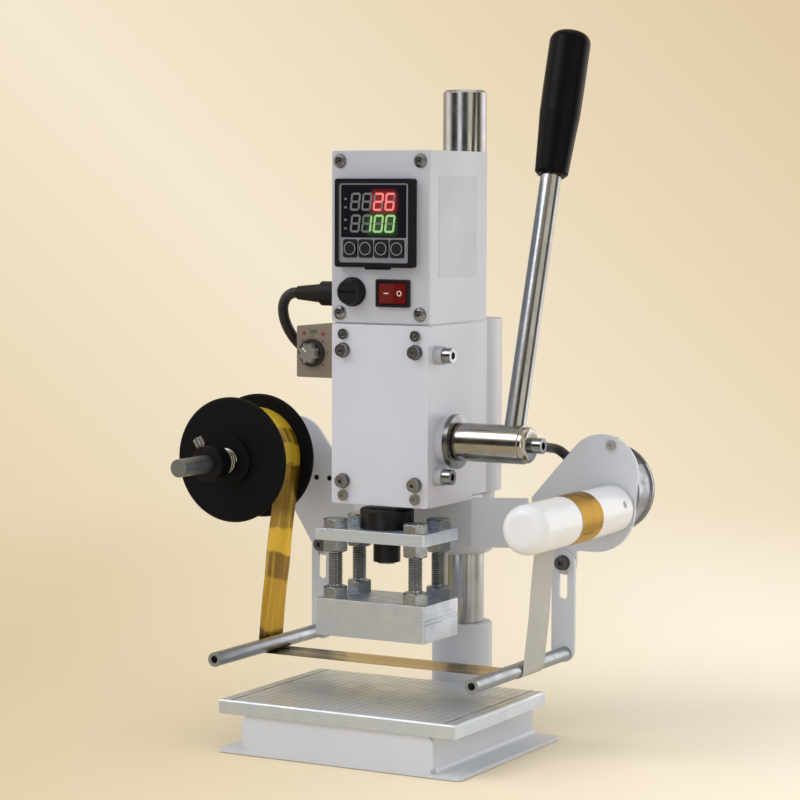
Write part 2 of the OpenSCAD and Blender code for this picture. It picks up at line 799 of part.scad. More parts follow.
// Carries the reel, with two spare holes beside it
module left_ear() difference() {
    tab = [-arm_x, tab_z + arm_w / 2];
    union() {
        link_shape(reel_c, left_ear_r, tab, arm_w / 2);
        link_shape(reel_c, left_ear_r, [-ear_x, bar_z1 - 1], 1);
        link_shape(tab, arm_w / 2, [-ear_x, bar_z0 + 1], 1);
        polygon([[-ear_x + 1, bar_z0 + 1], [-ear_x + 1, bar_z1 - 1], reel_c, tab]);
    }
    translate(reel_c) circle(d = reel_shaft_d + 2 * seat_gap);
    for (x = spare_hole_x) translate(reel_c + [x, -spare_hole_drop]) circle(d = m3_d + 2 * seat_gap);
    translate([-arm_x, arm_screw_z]) circle(d = arm_screw_d + 2 * seat_gap);
}

module foil_bracket() color(white) difference() {
    union() {
        translate([0, 0, bar_z0]) linear_extrude(bar_h) polygon(ribbon([
            [-ear_x - 1, ear_y + bracket_t / 2], [-ear_x, ear_y + bracket_t / 2],
            [-panel_x, panel_y + bracket_t / 2], [panel_x, panel_y + bracket_t / 2],
            [ear_x, ear_y + bracket_t / 2], [ear_x + 1, ear_y + bracket_t / 2]
        ], bracket_t));
        corner_box([-panel_x + 2, panel_y, bar_z1 - bracket_t], [panel_x - 2, panel_y + lip_d, bar_z1]);
        front_plate(ear_y, bracket_t) right_ear();
        front_plate(ear_y, bracket_t) left_ear();
    }
    for (x = [-1, 1]) {
        translate([x * (ear_x - 1) - relief_w / 2, 0, bar_z1 - relief_w])
            cube([relief_w, throat, relief_w + 1]);
        translate([x * bracket_screw_x, bracket_screw_y, bar_z1 - bracket_t - 1])
            cylinder(d = bracket_screw_d + 2 * seat_gap, h = bracket_t + 2);
    }
}

// Two screws up into the head and two that hold the motor
module bracket_screws() color(steel) {
    for (x = [-1, 1]) translate([x * bracket_screw_x, bracket_screw_y, bar_z1 - bracket_t])
        rotate([180, 0, 0])
            cap_screw(bracket_screw_d, bracket_t + bracket_screw_bite, m5_head, m5_head_h, m5_key);
    for (a = [0, 180]) {
        p = motor_c + motor_screw_r * [cos(motor_screw_a + a), sin(motor_screw_a + a)];
        translate([p[0], ear_y, p[1]]) rotate([90, 0, 0])
            cap_screw(m3_d, bracket_t + m3_d, m3_head, m3_head_h, m3_key);
    }
}

// Clamping screw and washer in each arm slot
module arm_screws() color(steel) for (x = [-1, 1])
    translate([x * arm_x, rod_back - run_gap, arm_screw_z]) rotate([90, 0, 0]) {
        difference() {
            cylinder(d = washer_d, h = washer_t - seat_gap);
            cylinder(d = arm_screw_d + 2 * seat_gap, h = 3 * washer_t, center = true);
        }
        translate([0, 0, washer_t]) cap_screw(arm_screw_d,
            2 * washer_t + 2 * bracket_t + 2 * run_gap, arm_head, arm_head_h, m4_key);
    }

// Slotted arm: long round-ended strip with a slot for the clamping screw
module long_hole(w, z0, z1) translate([0, (z0 + z1) / 2]) round_rect(w, z1 - z0 + w, w / 2 - 0.02);

module arm(x) difference() {
    front_plate(rod_back, bracket_t) translate([x, 0]) difference() {
        long_hole(arm_w, rod_z + 2, arm_screw_z);
        long_hole(arm_slot_w, arm_screw_z - arm_travel, arm_screw_z);
    }
    y_rod(5 + 2 * seat_gap, 0, throat, sign(x) * rod_x, rod_z);
}

module left_arm() color(white) arm(-arm_x);
module right_arm() color(white) arm(arm_x);

// Guide rod: tapped at the front, spigot riveted in the arm
module guide_rod(x) difference() {
    union() {
        y_rod(rod_d, rod_front, rod_back, x, rod_z);
        y_rod(5, rod_back - eps, rod_back + bracket_t, x, rod_z);
    }
    y_rod(4.2, rod_front - 1, rod_front + 12, x, rod_z);
}

module left_rod() color(alu) guide_rod(-rod_x);
module right_rod() color(alu) guide_rod(rod_x);

// Foil supply

module reel_shaft() color(alu) union() {
    y_rod(reel_shaft_d, reel_shaft_front, ear_y + bracket_t, -reel_x, reel_z);
    y_rod(shoulder_d, disc_y1 + disc_t + free_gap, ear_y, -reel_x, reel_z);
}

lock_screw_turn = 32;
module at_lock_screw() translate([-reel_x, (lock_y0 + lock_y1) / 2, reel_z])
    rotate([0, -lock_screw_turn, 0]) children();

module lock_collar() color(black) difference() {
    y_rod(lock_d, lock_y0, lock_y1, -reel_x, reel_z);
    y_rod(reel_shaft_d + 2 * seat_gap, lock_y0 - 1, lock_y1 + 1, -reel_x, reel_z);
    at_lock_screw() cylinder(d = 4 + 2 * seat_gap, h = lock_d);
}

module collar_screw() color(chrome) at_lock_screw() translate([0, 0, lock_d / 2 + 1])
    cap_screw(4, lock_d / 2 + 1 - reel_shaft_d / 2 - seat_gap, 6.5, 5, 3);

spring_steps = 8;
spring_pitch = (spring_len - 2 * spring_wire) / spring_turns;
spring_path = [
    for (i = [0:spring_turns * spring_steps]) let (a = 360 * i / spring_steps)
        [spring_r * cos(a), lock_y1 + spring_wire + spring_pitch * i / spring_steps,
            spring_r * sin(a)]
];
spring_gap = min([
    for (i = [0:len(spring_path) - 1 - spring_steps])
        norm(spring_path[i + spring_steps] - spring_path[i]) - spring_wire
]);
echo(spring_gap = spring_gap);

module drag_spring() color(chrome) translate([-reel_x, 0, reel_z])
    tube(spring_path, spring_wire, 6, [1, 0, 0]);

module reel_discs() color(black) for (side = [-1, 1])
    translate([-reel_x, foil_y, reel_z]) rotate([side > 0 ? -90 : 90, 0, 0])
        rotate_extrude($fn = 64) {
            bore = reel_shaft_d / 2 + run_gap;
            face = disc_gap / 2;
            polygon([[bore, face - 8], [core_d / 2 - 0.1, face - 8], [core_d / 2 - 0.1, face],
                [disc_d / 2 - 1, face], [disc_d / 2, face + 1], [disc_d / 2, face + disc_t - 1],
                [disc_d / 2 - 1, face + disc_t], [hub_ring_d / 2, face + disc_t],
                [hub_ring_d / 2, face + disc_t + (side < 0 ? hub_ring_t : 0)],
                [bore, face + disc_t + (side < 0 ? hub_ring_t : 0)]]);
        }

module foil_roll() color(gold) difference() {
    y_rod(roll_d, foil_y - foil_w / 2, foil_y + foil_w / 2, -reel_x, reel_z);
    y_rod(core_d, foil_y - foil_w, foil_y + foil_w, -reel_x, reel_z);
}

module foil_band() front_plate(foil_y - foil_w / 2, foil_w) children();

module foil_feed_strip() color(gold) foil_band() polygon(ribbon([feed[0], feed[1]], foil_t));

module foil_span() color(gold) foil_band() polygon(ribbon(concat(
    arc_points(left_c, foil_rod_r, feed[2] + 180, 270, wrap_steps),
    arc_points(right_c, foil_rod_r, 270, take[2] + 360, wrap_steps)
), foil_t));

module foil_take_up_strip() color(gold) foil_band() polygon(ribbon([take[0], take[1]], foil_t));

// Foil take-up

// Gearbox plate, can with a rolled rim, cable grommet on the side
module gear_motor() color("#a5a4ab") difference() {
    union() {
        translate([motor_c[0], motor_y, motor_c[1]]) rotate([-90, 0, 0]) rotate_extrude()
            polygon([[0, 0], [motor_d / 2, 0], [motor_d / 2, 3], [motor_d / 2 - 1, 3.6],
                [motor_d / 2 - 1, motor_h - 4], [motor_d / 2, motor_h - 3.5],
                [motor_d / 2, motor_h - 1], [motor_d / 2 - 1, motor_h], [0, motor_h]]);
        translate([motor_c[0], motor_cable_end[1], motor_c[1]]) rotate([0, grommet_rise - 90, 0])
            cylinder(d = motor_cable_d + 2 * grommet_wall, h = motor_grommet_r);
        front_plate(motor_y, 1.5) for (a = [0, 180]) {
            tip = motor_c + motor_screw_r * [cos(motor_screw_a + a), sin(motor_screw_a + a)];
            link_shape(motor_c, 10, tip, motor_lug_r);
        }
    }
    y_rod(motor_shaft_d + 2 * run_gap, motor_y - 1, motor_y + 12, roller_x, roller_z);
    for (a = [0, 180]) {
        tip = motor_c + motor_screw_r * [cos(motor_screw_a + a), sin(motor_screw_a + a)];
        y_rod(m3_d + 2 * seat_gap, motor_y - 1, motor_y + m3_d + 1, tip[0], tip[1]);
    }
}

roller_y1 = ear_y - 2;
roller_y0 = roller_y1 - roller_len;
roller_nose = 6.5;
grub_y = roller_y1 - 10;
grub_tilt = 18;

// White roller with a round nose, its wound foil, and the motor shaft pressed into it
module take_up_roller() color("#e6e6e4") translate([roller_x, 0, roller_z]) rotate([-90, 0, 0]) {
    difference() {
        rotate_extrude() polygon(concat(
            [[0, roller_y0]],
            arc_points([roller_d / 2 - roller_nose, roller_y0 + roller_nose], roller_nose, -90, 0, 8),
            [[roller_d / 2, roller_y1 - 0.6], [roller_d / 2 - 0.6, roller_y1], [0, roller_y1]]
        ));
        translate([0, 0, grub_y]) rotate([0, 90, -grub_tilt]) {
            translate([0, 0, roller_d / 2 - 2]) cylinder(d = m4_d, h = 3);
            translate([0, 0, roller_d / 2 - 4]) cylinder(d = m4_key, h = 3, $fn = 6);
        }
    }
    translate([0, 0, roller_y1 - eps]) cylinder(d = motor_shaft_d, h = motor_y + 11 - roller_y1);
    translate([0, 0, foil_y - foil_w / 2]) cylinder(d = roller_d + 0.4, h = foil_w);
}

// Control box

module control_box() color(white) difference() {
    corner_box([-head_w / 2, panel_y1, box_z], [head_w / 2, box_back, box_z + box_h]);
    corner_box([-head_w / 2 + box_wall, panel_y1 - 1, box_z + box_wall],
        [head_w / 2 - box_wall, box_back - box_wall, box_z + box_h - box_wall]);
    difference() {
        corner_box([-head_w, panel_y1 - 1, box_z - 1], [head_w, box_back + 1, box_z + seam_h]);
        corner_box([-head_w / 2 + seam_in, panel_y1 - 2, box_z - 2],
            [head_w / 2 - seam_in, box_back - seam_in, box_z + seam_h + 1]);
    }
    x_rod(9, -head_w, 0, gland_y, gland_z);
    y_rod(8, 0, box_d + 10, motor_gland_x, motor_gland_z);
}

module panel_cuts() {
    translate([bezel_x, bezel_z]) square(case_w + 2 * seat_gap, center = true);
    translate([fuse_x, box_z + fuse_up]) circle(d = fuse_d - 3.5);
    translate([switch_x, box_z + switch_up]) square([switch_w - 2, switch_h - 2], center = true);
    for (x = [-1, 1], z = panel_screw_z)
        translate([x * panel_screw_x, z]) circle(d = 3 + 2 * seat_gap);
}

module control_panel() color("#bfbfca") front_plate(-head_front, panel_t) difference() {
    translate([0, box_z + seam_h / 2 + box_h / 2]) round_rect(head_w, box_h - seam_h, 1);
    panel_cuts();
}

module panel_screws() color(chrome) for (x = [-1, 1], z = panel_screw_z)
    translate([x * panel_screw_x, -head_front, z]) rotate([90, 0, 0]) difference() {
        union() {
            rotate_extrude() polygon([[0, 0], [4, 0], [3.6, 1], [2.4, 1.9], [0, 2.2]]);
            translate([0, 0, -panel_t - 3]) cylinder(d = 3, h = panel_t + 3 + eps);
        }
        translate([0, 0, 0.9]) cylinder(d = 2.6, h = 3, $fn = 6);
    }

button_z = bezel_z - bezel_w / 2 + button_up;
function button_x(i) = bezel_x + (i - (button_n - 1) / 2) * button_pitch;

// Moulded controller: bezel, recessed face and body behind the panel
module controller_case() color(black) difference() {
    union() {
        front_plate(face_y, bezel_t) translate([bezel_x, bezel_z]) round_rect(bezel_w, bezel_w, 1.5);
        for (x = clip_tab_x) front_plate(face_y + 1.5, bezel_t - 1.5)
            translate([x, bezel_z - bezel_w / 2]) square([clip_tab_w, 2 * clip_tab_h], center = true);
        front_plate(-head_front - eps, case_d + eps)
            translate([bezel_x, bezel_z]) square(case_w, center = true);
    }
    front_plate(face_y - 1, 1.8) translate([bezel_x, bezel_z])
        round_rect(bezel_w - 5, bezel_w - 5, 1);
    for (i = [0:button_n - 1]) translate([button_x(i), 0, button_z])
        front_plate(face_y, bezel_t - 1) round_rect(button_w + 0.6, button_h + 0.6, 1);
}

// Key of the controller, standing proud of the recessed face
module key(i) color("#4a4a4e") translate([button_x(i), 0, button_z])
    front_plate(face_y + 0.8 - button_stand, button_stand + bezel_t - 1.8 - button_travel - free_gap)
        round_rect(button_w, button_h, 0.8);
module set_button() key(0);
module shift_button() key(1);
module down_button() key(2);
module up_button() key(3);

module fuse_body() color(black) translate([fuse_x, -head_front, box_z + fuse_up]) rotate([-90, 0, 0])
    difference() {
        union() {
            translate([0, 0, -2]) cylinder(d = fuse_d, h = 2);
            translate([0, 0, -eps]) cylinder(d = fuse_d - 3.5 - 2 * seat_gap, h = fuse_len);
        }
        translate([0, 0, -3]) cylinder(d = fuse_d - fuse_rim, h = fuse_well);
    }

// Bayonet cap with a screwdriver slot
module fuse_cap() color(black) translate([fuse_x, -head_front, box_z + fuse_up]) rotate([90, 0, 0])
    difference() {
        union() {
            translate([0, 0, 2 + run_gap]) rotate_extrude()
                polygon([[0, 0], [fuse_d / 2 - 0.5, 0], [fuse_d / 2 - 1.2, fuse_cap_t - 2],
                    [fuse_d / 2 - 2, fuse_cap_t - 1.2], [0, fuse_cap_t - 1.2]]);
            translate([0, 0, -6]) cylinder(d = fuse_d - fuse_rim - 4 * run_gap, h = 9);
        }
        translate([-fuse_d / 2 + 3, -0.8, fuse_cap_t - 0.6]) cube([fuse_d - fuse_rim, 1.6, 3]);
    }

rocker_pin = 2.4;
module switch_frame() color(black) difference() {
    union() {
        front_plate(-head_front - switch_t, switch_t)
            translate([switch_x, box_z + switch_up]) round_rect(switch_w, switch_h, 1);
        front_plate(-head_front - eps, 16)
            translate([switch_x, box_z + switch_up]) square([switch_w - 2.1, switch_h - 2.1], center = true);
    }
    front_plate(-head_front - switch_t - 1, switch_t + 9)
        translate([switch_x, box_z + switch_up]) square([rocker_w + 0.8, rocker_h + 0.8], center = true);
    translate([switch_x, rocker_pivot_y, box_z + switch_up])
        cylinder(d = rocker_pin + 2 * run_gap, h = switch_h, center = true);
}

// Rocker with two sloping halves, turning about an upright pin line
rocker_pivot_y = -head_front + 2;
rocker_tilt = 9;
module switch_rocker() color("#b3211a") translate([switch_x, rocker_pivot_y, box_z + switch_up])
    rotate([0, 0, rocker_tilt]) {
        cylinder(d = rocker_pin, h = rocker_h + 1.7, center = true);
        translate([0, 0, -rocker_h / 2]) linear_extrude(rocker_h)
            polygon([[-rocker_w / 2 + 0.6, -5.6], [0, -4.4], [rocker_w / 2 - 0.6, -5.6],
                [rocker_w / 2 - 1.4, 0], [2, 4], [-2, 4], [-rocker_w / 2 + 1.4, 0]]);
    }

// Timer

module timer_case() color("#9c8f80") difference() {
    union() {
        translate([timer_x, 0, timer_zc]) front_plate(timer_y0, timer_d) round_rect(timer_w, timer_h, 1);
        x_rod(timer_cable_d + 2 * grommet_wall, timer_cable_end[0], timer_x,
            timer_cable_end[1], timer_cable_end[2]);
    }
    y_rod(5 + 2 * run_gap, timer_y0 - 1, timer_y0 + 8, dial_x, dial_z);
}

// Round skirt with a lobed knob, on a short shaft
module timer_dial() color("#b9b2a8") translate([dial_x, timer_y0, dial_z]) rotate([90, 0, 0]) {
    translate([0, 0, free_gap]) cylinder(d = dial_d, h = dial_rim);
    translate([0, 0, free_gap + dial_rim - eps]) linear_extrude(dial_t - dial_rim) difference() {
        circle(d = knob_d);
        for (i = [0:dial_lobes - 1]) rotate(i * 360 / dial_lobes) translate([knob_d / 2 + 0.8, 0])
            circle(d = 4, $fn = 16);
    }
    translate([0, 0, -7]) cylinder(d = 5, h = 8);
}

// Gland with its boot on the side of the box, and a small one at the back
module cable_glands() color(black) {
    translate([-head_w / 2, gland_y, gland_z]) rotate([0, -90, 0]) {
        rotate_extrude() polygon([[0, 0], [gland_d / 2 + 1, 0], [gland_d / 2 + 1, 2], [gland_d / 2, 2.5],
            [gland_d / 2, gland_len - 1], [gland_d / 2 - 1, gland_len], [boot_d / 2, gland_len],
            [timer_cable_d / 2 + 0.8, gland_len + boot_len], [0, gland_len + boot_len]]);
        translate([0, 0, -4]) cylinder(d = 8.9, h = 4 + eps);
    }
    translate([motor_gland_x, box_back, motor_gland_z]) rotate([-90, 0, 0]) {
        rotate_extrude() polygon([[0, 0], [motor_gland_d / 2, 0], [motor_gland_d / 2, 3],
            [motor_cable_d / 2 + 0.8, motor_gland_len], [0, motor_gland_len]]);
        translate([0, 0, -4]) cylinder(d = 7.9, h = 4 + eps);
    }
}

module timer_cable() color(black)
    tube(spline(timer_cable_route, 2), timer_cable_d, 10, [0, 1, 0]);

module motor_cable() color(black)
    tube(spline(motor_cable_route, 2), motor_cable_d, 10, [1, 0, 0]);

// Lever

module pinion_shaft() color(steel) union() {
    x_rod(shaft_d, -head_w / 2 + left_wall + free_gap, shaft_end, pivot_y, pivot_z);
    translate([0, pivot_y, pivot_z]) side_plate(-pinion_w / 2, pinion_w) polygon(pinion_outline);
}

module lever_hub() color(steel) translate([hub_x, pivot_y, pivot_z]) difference() {
    nose_r = hub_d / 2 - hub_step;
    rotate([0, 90, 0]) rotate_extrude() polygon(concat(
        [[0, 0], [hub_d / 2 - 0.6, 0], [hub_d / 2, 0.6], [hub_d / 2, hub_len - hub_nose],
            [nose_r, hub_len - hub_nose]],
        arc_points([nose_r - hub_round, hub_len - hub_round], hub_round, 0, 90, 4),
        [[0, hub_len]]
    ));
    x_rod(shaft_d + 2 * seat_gap, -1, shaft_end - hub_x + seat_gap);
    x_rod(hub_screw_d + 2 * seat_gap, hub_len - hub_screw_bite - 0.5, hub_len + 1);
    translate([lever_x - hub_x, 0, 0]) rotate([-lever_lean, 0, 0]) translate([0, 0, -8 - seat_gap])
        cylinder(d = lever_d + 2 * seat_gap, h = hub_d);
}

module at_lever() translate([lever_x, pivot_y, pivot_z]) rotate([-lever_lean, 0, 0]) children();

grip_bite = 45;
module lever_rod() color(chrome) at_lever() translate([0, 0, -8])
    cylinder(d = lever_d, h = 8 + lever_len - grip_len + grip_bite);

grip_round = 6;
grip_dome = 1;

// Grip, straight above and drawn in towards its foot, with a low dome on top
module lever_grip() color(black) at_lever() translate([0, 0, lever_len - grip_len]) difference() {
    rotate_extrude() polygon(concat(
        [[0, 0], [grip_d1 / 2 - 1.5, 0], [grip_d1 / 2, 1.5], [grip_d2 / 2 - 1, grip_len * 0.28],
            [grip_d2 / 2 - 0.2, grip_len * 0.42], [grip_d2 / 2, grip_len * 0.6]],
        arc_points([grip_d2 / 2 - grip_round, grip_len - grip_dome - grip_round], grip_round, 0, 80, 7),
        [[0, grip_len]]
    ));
    translate([0, 0, -1]) cylinder(d = lever_d + 2 * seat_gap, h = grip_bite + 1 + seat_gap);
}

module hub_screw() color(chrome) translate([hub_end, pivot_y, pivot_z]) rotate([0, 90, 0])
    cap_screw(hub_screw_d, hub_screw_bite, hub_screw_head, hub_screw_head_h, m5_key);

// Ram and heated block

module ram() color(steel) union() {
    difference() {
        corner_box([-ram_w / 2, ram_front, ram_foot], [ram_w / 2, ram_back, ram_top]);
        corner_box([-ram_w, rack_root, rack_low - rack_pitch / 2],
            [ram_w, ram_back + 1, rack_low + (rack_count - 0.5) * rack_pitch]);
    }
    side_plate(-ram_w / 2, ram_w) for (k = [0:rack_count - 1]) polygon(rack_tooth(rack_low + k * rack_pitch));
    translate([0, 0, plate_z - ram_nut_h - 1]) cylinder(d = ram_stud_d, h = plate_t + ram_nut_h + 1 + eps);
}

module ram_collar() color(black) difference() {
    translate([0, 0, collar_z]) rotate_extrude() polygon([[0, 0], [collar_d / 2, 0],
        [collar_d / 2, collar_h - 1], [collar_d / 2 - 1, collar_h], [0, collar_h]]);
    corner_box([-ram_w / 2 - seat_gap, ram_front - seat_gap, collar_z - 1],
        [ram_w / 2 + seat_gap, ram_back + seat_gap, collar_z + collar_h + 1]);
}

module block_plan() translate([0, 0]) round_rect(block_w, block_d, 1);

module upper_plate() color(alu) translate([0, 0, plate_z]) linear_extrude(plate_t) difference() {
    block_plan();
    circle(d = ram_stud_d + 2 * seat_gap);
    for (x = [-1, 1], y = [-1, 1])
        translate([x * stud_dx / 2, y * stud_dy / 2]) circle(d = stud_d + 2 * seat_gap);
}

module ram_nut() color(black) difference() {
    translate([0, 0, plate_z - ram_nut_h]) cylinder(d = ram_nut_d, h = ram_nut_h);
    translate([0, 0, plate_z - ram_nut_h - 1]) cylinder(d = ram_stud_d + 2 * seat_gap, h = ram_nut_h + 2);
}

module hex_head(h) intersection() {
    cylinder(d = stud_af / cos(30), h = h, $fn = 6);
    rotate_extrude() polygon([[0, 0], [stud_af / 2 + 1, 0], [stud_af / 2 + 1, h - 1.2],
        [stud_af / 2 - 0.4, h], [0, h]]);
}

module block_bolts() color(steel) at_studs() {
    translate([0, 0, plate_top]) hex_head(bolt_head_h);
    translate([0, 0, block_top - stud_bite]) cylinder(d = stud_d, h = plate_top - block_top + stud_bite + eps);
}

module stud_nut() difference() {
    hex_head(nut_h);
    translate([0, 0, -1]) cylinder(d = stud_d + 2 * seat_gap, h = nut_h + 2);
}

// A nut under the plate and one on the block, on each stud
module stud_nuts() color(steel) at_studs() {
    translate([0, 0, plate_z]) rotate([180, 0, 0]) stud_nut();
    translate([0, 0, block_top]) stud_nut();
}

heater_y = [-block_d * 0.18, block_d * 0.18];
heater_z = block_z + block_h * 0.38;
heater_end = block_w / 2 - 6;
module heater_block() color(alu) difference() {
    translate([0, 0, block_z]) linear_extrude(block_h) block_plan();
    at_studs() translate([0, 0, block_top - stud_bite - 0.5])
        cylinder(d = stud_d + 2 * seat_gap, h = stud_bite + 1);
    for (y = heater_y) x_rod(heater_d + 2 * seat_gap, -block_w, heater_end, y, heater_z);
    for (z = [block_h - 8.4, block_h - 10.6])
        corner_box([block_w / 2 - 0.6, -block_d, block_z + z], [block_w, block_d, block_z + z + 0.7]);
}

module heater_cartridges() color(steel) for (y = heater_y)
    x_rod(heater_d, -block_w / 2 - 4, heater_end - 0.5, y, heater_z);

base_shell();
work_table();
base_bolts();
column_seat();
column();
head_body();
front_cover();
cover_screws();
guide_screws();
ram_gib();
pivot_bushes();
clamp_screws();
foil_bracket();
bracket_screws();
arm_screws();
reel_shaft();
lock_collar();
collar_screw();
drag_spring();
gear_motor();
left_arm();
right_arm();
left_rod();
right_rod();
foil_feed_strip();
foil_span();
foil_take_up_strip();
control_box();
control_panel();
panel_screws();
controller_case();
set_button();
shift_button();
down_button();
up_button();
fuse_body();
fuse_cap();
switch_frame();
switch_rocker();
timer_case();
timer_dial();
cable_glands();
timer_cable();
motor_cable();
pinion_shaft();
lever_hub();
lever_rod();
lever_grip();
hub_screw();
ram();
ram_collar();
upper_plate();
ram_nut();
block_bolts();
stud_nuts();
heater_block();
heater_cartridges();
reel_discs();
foil_roll();
take_up_roller();
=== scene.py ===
"""Looks of a hand-lever hot foil stamping machine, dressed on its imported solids.

+Z is up, -Y is the front and +X is the lever side. Sizes are in millimetres, the studio's in metres.
"""

import logging
import math
from collections.abc import Callable, Sequence
from dataclasses import dataclass
from enum import Enum

import bpy
from mathutils import Matrix, Vector


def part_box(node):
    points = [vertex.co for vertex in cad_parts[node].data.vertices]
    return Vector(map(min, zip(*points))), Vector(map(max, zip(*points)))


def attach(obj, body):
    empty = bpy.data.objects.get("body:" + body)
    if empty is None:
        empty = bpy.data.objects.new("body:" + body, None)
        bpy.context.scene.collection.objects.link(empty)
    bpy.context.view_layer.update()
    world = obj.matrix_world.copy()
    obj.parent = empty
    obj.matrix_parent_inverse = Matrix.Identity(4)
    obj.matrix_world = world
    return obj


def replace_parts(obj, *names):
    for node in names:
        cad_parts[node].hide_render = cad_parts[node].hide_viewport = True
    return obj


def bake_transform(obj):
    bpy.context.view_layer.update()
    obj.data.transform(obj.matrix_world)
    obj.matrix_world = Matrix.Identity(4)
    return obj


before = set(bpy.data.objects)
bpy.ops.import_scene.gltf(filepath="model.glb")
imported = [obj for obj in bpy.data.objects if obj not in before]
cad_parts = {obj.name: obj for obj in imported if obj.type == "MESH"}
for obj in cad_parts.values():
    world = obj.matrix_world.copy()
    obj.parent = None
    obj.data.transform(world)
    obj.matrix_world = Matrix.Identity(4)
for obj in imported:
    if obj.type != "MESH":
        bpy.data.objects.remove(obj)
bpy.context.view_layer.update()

MM = 0.001
log = logging.getLogger("foil_press")

Piece = bpy.types.Object
Tree = bpy.types.NodeTree
Socket = bpy.types.NodeSocket
Sockets = dict[str | int, Socket | str | float | Sequence[float]]
FaceTest = Callable[[bpy.types.MeshPolygon], bool]
Pair = tuple[float, float]


class Axis(Enum):
    """A coordinate that a pattern or a painted zone is measured along."""

    X = 0
    Y = 1
    Z = 2


def linear(code: str) -> tuple[float, float, float, float]:
    """Turns an sRGB hex colour into a linear one.

    Args:
        code: The colour as "#rrggbb".

    Returns:
        Red, green, blue and alpha, linear.
    """
    parts = [int(code[i:i + 2], 16) / 255 for i in (1, 3, 5)]
    red, green, blue = [c / 12.92 if c <= 0.04045 else ((c + 0.055) / 1.055) ** 2.4 for c in parts]
    return red, green, blue, 1.0


def add(tree: Tree, kind: str, inputs: Sockets | None = None, out: int | str = 0,
        **settings: object) -> Socket | None:
    """Adds a shader node with its settings and links.

    Args:
        tree: The node tree that gets the node.
        kind: Blender's name of the node, without "ShaderNode".
        inputs: Sockets, each with a value, a hex colour or the socket that feeds it.
        out: The output that is handed on.
        **settings: Properties of the node.

    Returns:
        That output, if the node has one.
    """
    node = tree.nodes.new(f"ShaderNode{kind}")
    for key, value in settings.items():
        setattr(node, key, value)
    for key, value in (inputs or {}).items():
        if isinstance(value, Socket):
            tree.links.new(value, node.inputs[key])
        else:
            node.inputs[key].default_value = linear(value) if isinstance(value, str) else value
    return node.outputs[out] if node.outputs else None


def emptied(owner: bpy.types.Material | bpy.types.World) -> Tree:
    """Switches a material's or world's nodes on and clears them.

    Args:
        owner: The material or world.

    Returns:
        Its empty node tree.
    """
    owner.use_nodes = True
    owner.node_tree.nodes.clear()
    return owner.node_tree


def per_mm(size: float) -> float:
    """Pattern scale for features of this size in millimetres."""
    return 1 / (size * MM)


# Finishes


@dataclass(frozen=True)
class Stretch:
    """A stretch of a piece along one axis."""

    axis: Axis
    low: float
    high: float


@dataclass(frozen=True)
class Zone(Stretch):
    """A stretch that has a painted colour of its own.

    Attributes:
        colour: The colour, sRGB.
        spared: Stretch along another axis that keeps the colour underneath.
    """

    colour: str
    spared: Stretch | None = None


@dataclass(frozen=True)
class Finish:
    """A surface finish, named for the real material.

    Attributes:
        name: The material's name.
        colour: Its main colour, sRGB.
        roughness: Its mean roughness.
        edge: Radius over which edges catch the light.
        zones: Stretches of the piece in another colour.
    """

    name: str
    colour: str
    roughness: float = 0.4
    edge: float = 0.35
    zones: tuple[Zone, ...] = ()

    def make(self) -> bpy.types.Material:
        """Gives the material, made on its first use.

        Returns:
            The material.
        """
        known = bpy.data.materials.get(self.name)
        if known:
            return known
        material = bpy.data.materials.new(self.name)
        tree = emptied(material)
        shader = add(tree, "BsdfPrincipled", self.dress(tree))
        add(tree, "OutputMaterial", {"Surface": shader})
        return material

    def dress(self, tree: Tree) -> Sockets:
        """Gives the shader's sockets, to which each kind of finish adds its pattern."""
        return {"Base Color": self.colour, "Roughness": self.roughness}

    def skin(self, tree: Tree, height: Socket, depth: float) -> Socket:
        """Lays a relief, given from 0 to 1 and by its depth, on top of softened edges."""
        edge = add(tree, "Bevel", {"Radius": self.edge * MM}, samples=4)
        return add(tree, "Bump", {"Height": height, "Distance": depth * MM, "Strength": 1.0, "Normal": edge})

    def wear(self, tree: Tree, colour: Socket, highlight_colour: str) -> Socket:
        """Lightens a colour along the edges: a painted highlight where the edges catch the light.

        Args:
            tree: The material's nodes.
            colour: The colour of the flats.
            highlight_colour: The colour of the painted highlight on an edge.

        Returns:
            The worn colour.
        """
        edge = add(tree, "Bevel", {"Radius": self.edge * MM}, samples=4)
        flat = add(tree, "NewGeometry", out="Normal")
        bend = add(tree, "VectorMath", {0: edge, 1: flat}, "Value", operation="DOT_PRODUCT")
        highlight_mask = add(tree, "MapRange", {"Value": bend, "From Min": 0.99, "From Max": 0.85, "To Max": 0.7})
        return add(tree, "Mix", {0: highlight_mask, 6: colour, 7: highlight_colour}, 2, data_type="RGBA")

    def within(self, tree: Tree, zone: Stretch) -> Socket:
        """Makes a mask of a stretch.

        Args:
            tree: The material's nodes.
            zone: The stretch.

        Returns:
            1 inside the stretch and 0 outside.
        """
        place = add(tree, "TexCoord", out="Object")
        along = add(tree, "SeparateXYZ", {0: place}, zone.axis.value)
        over = add(tree, "Math", {0: along, 1: zone.low * MM}, operation="GREATER_THAN")
        under = add(tree, "Math", {0: along, 1: zone.high * MM}, operation="LESS_THAN")
        return add(tree, "Math", {0: over, 1: under}, operation="MULTIPLY")

    def painted(self, tree: Tree, colour: Socket) -> Socket:
        """Lays the painted stretches over a colour.

        Args:
            tree: The material's nodes.
            colour: The colour underneath.

        Returns:
            The colour with its painted stretches.
        """
        for zone in self.zones:
            mask = self.within(tree, zone)
            if zone.spared:
                kept = self.within(tree, zone.spared)
                mask = add(tree, "Math", {0: mask, 1: kept}, operation="SUBTRACT", use_clamp=True)
            colour = add(tree, "Mix", {0: mask, 6: colour, 7: zone.colour}, 2, data_type="RGBA")
        return colour


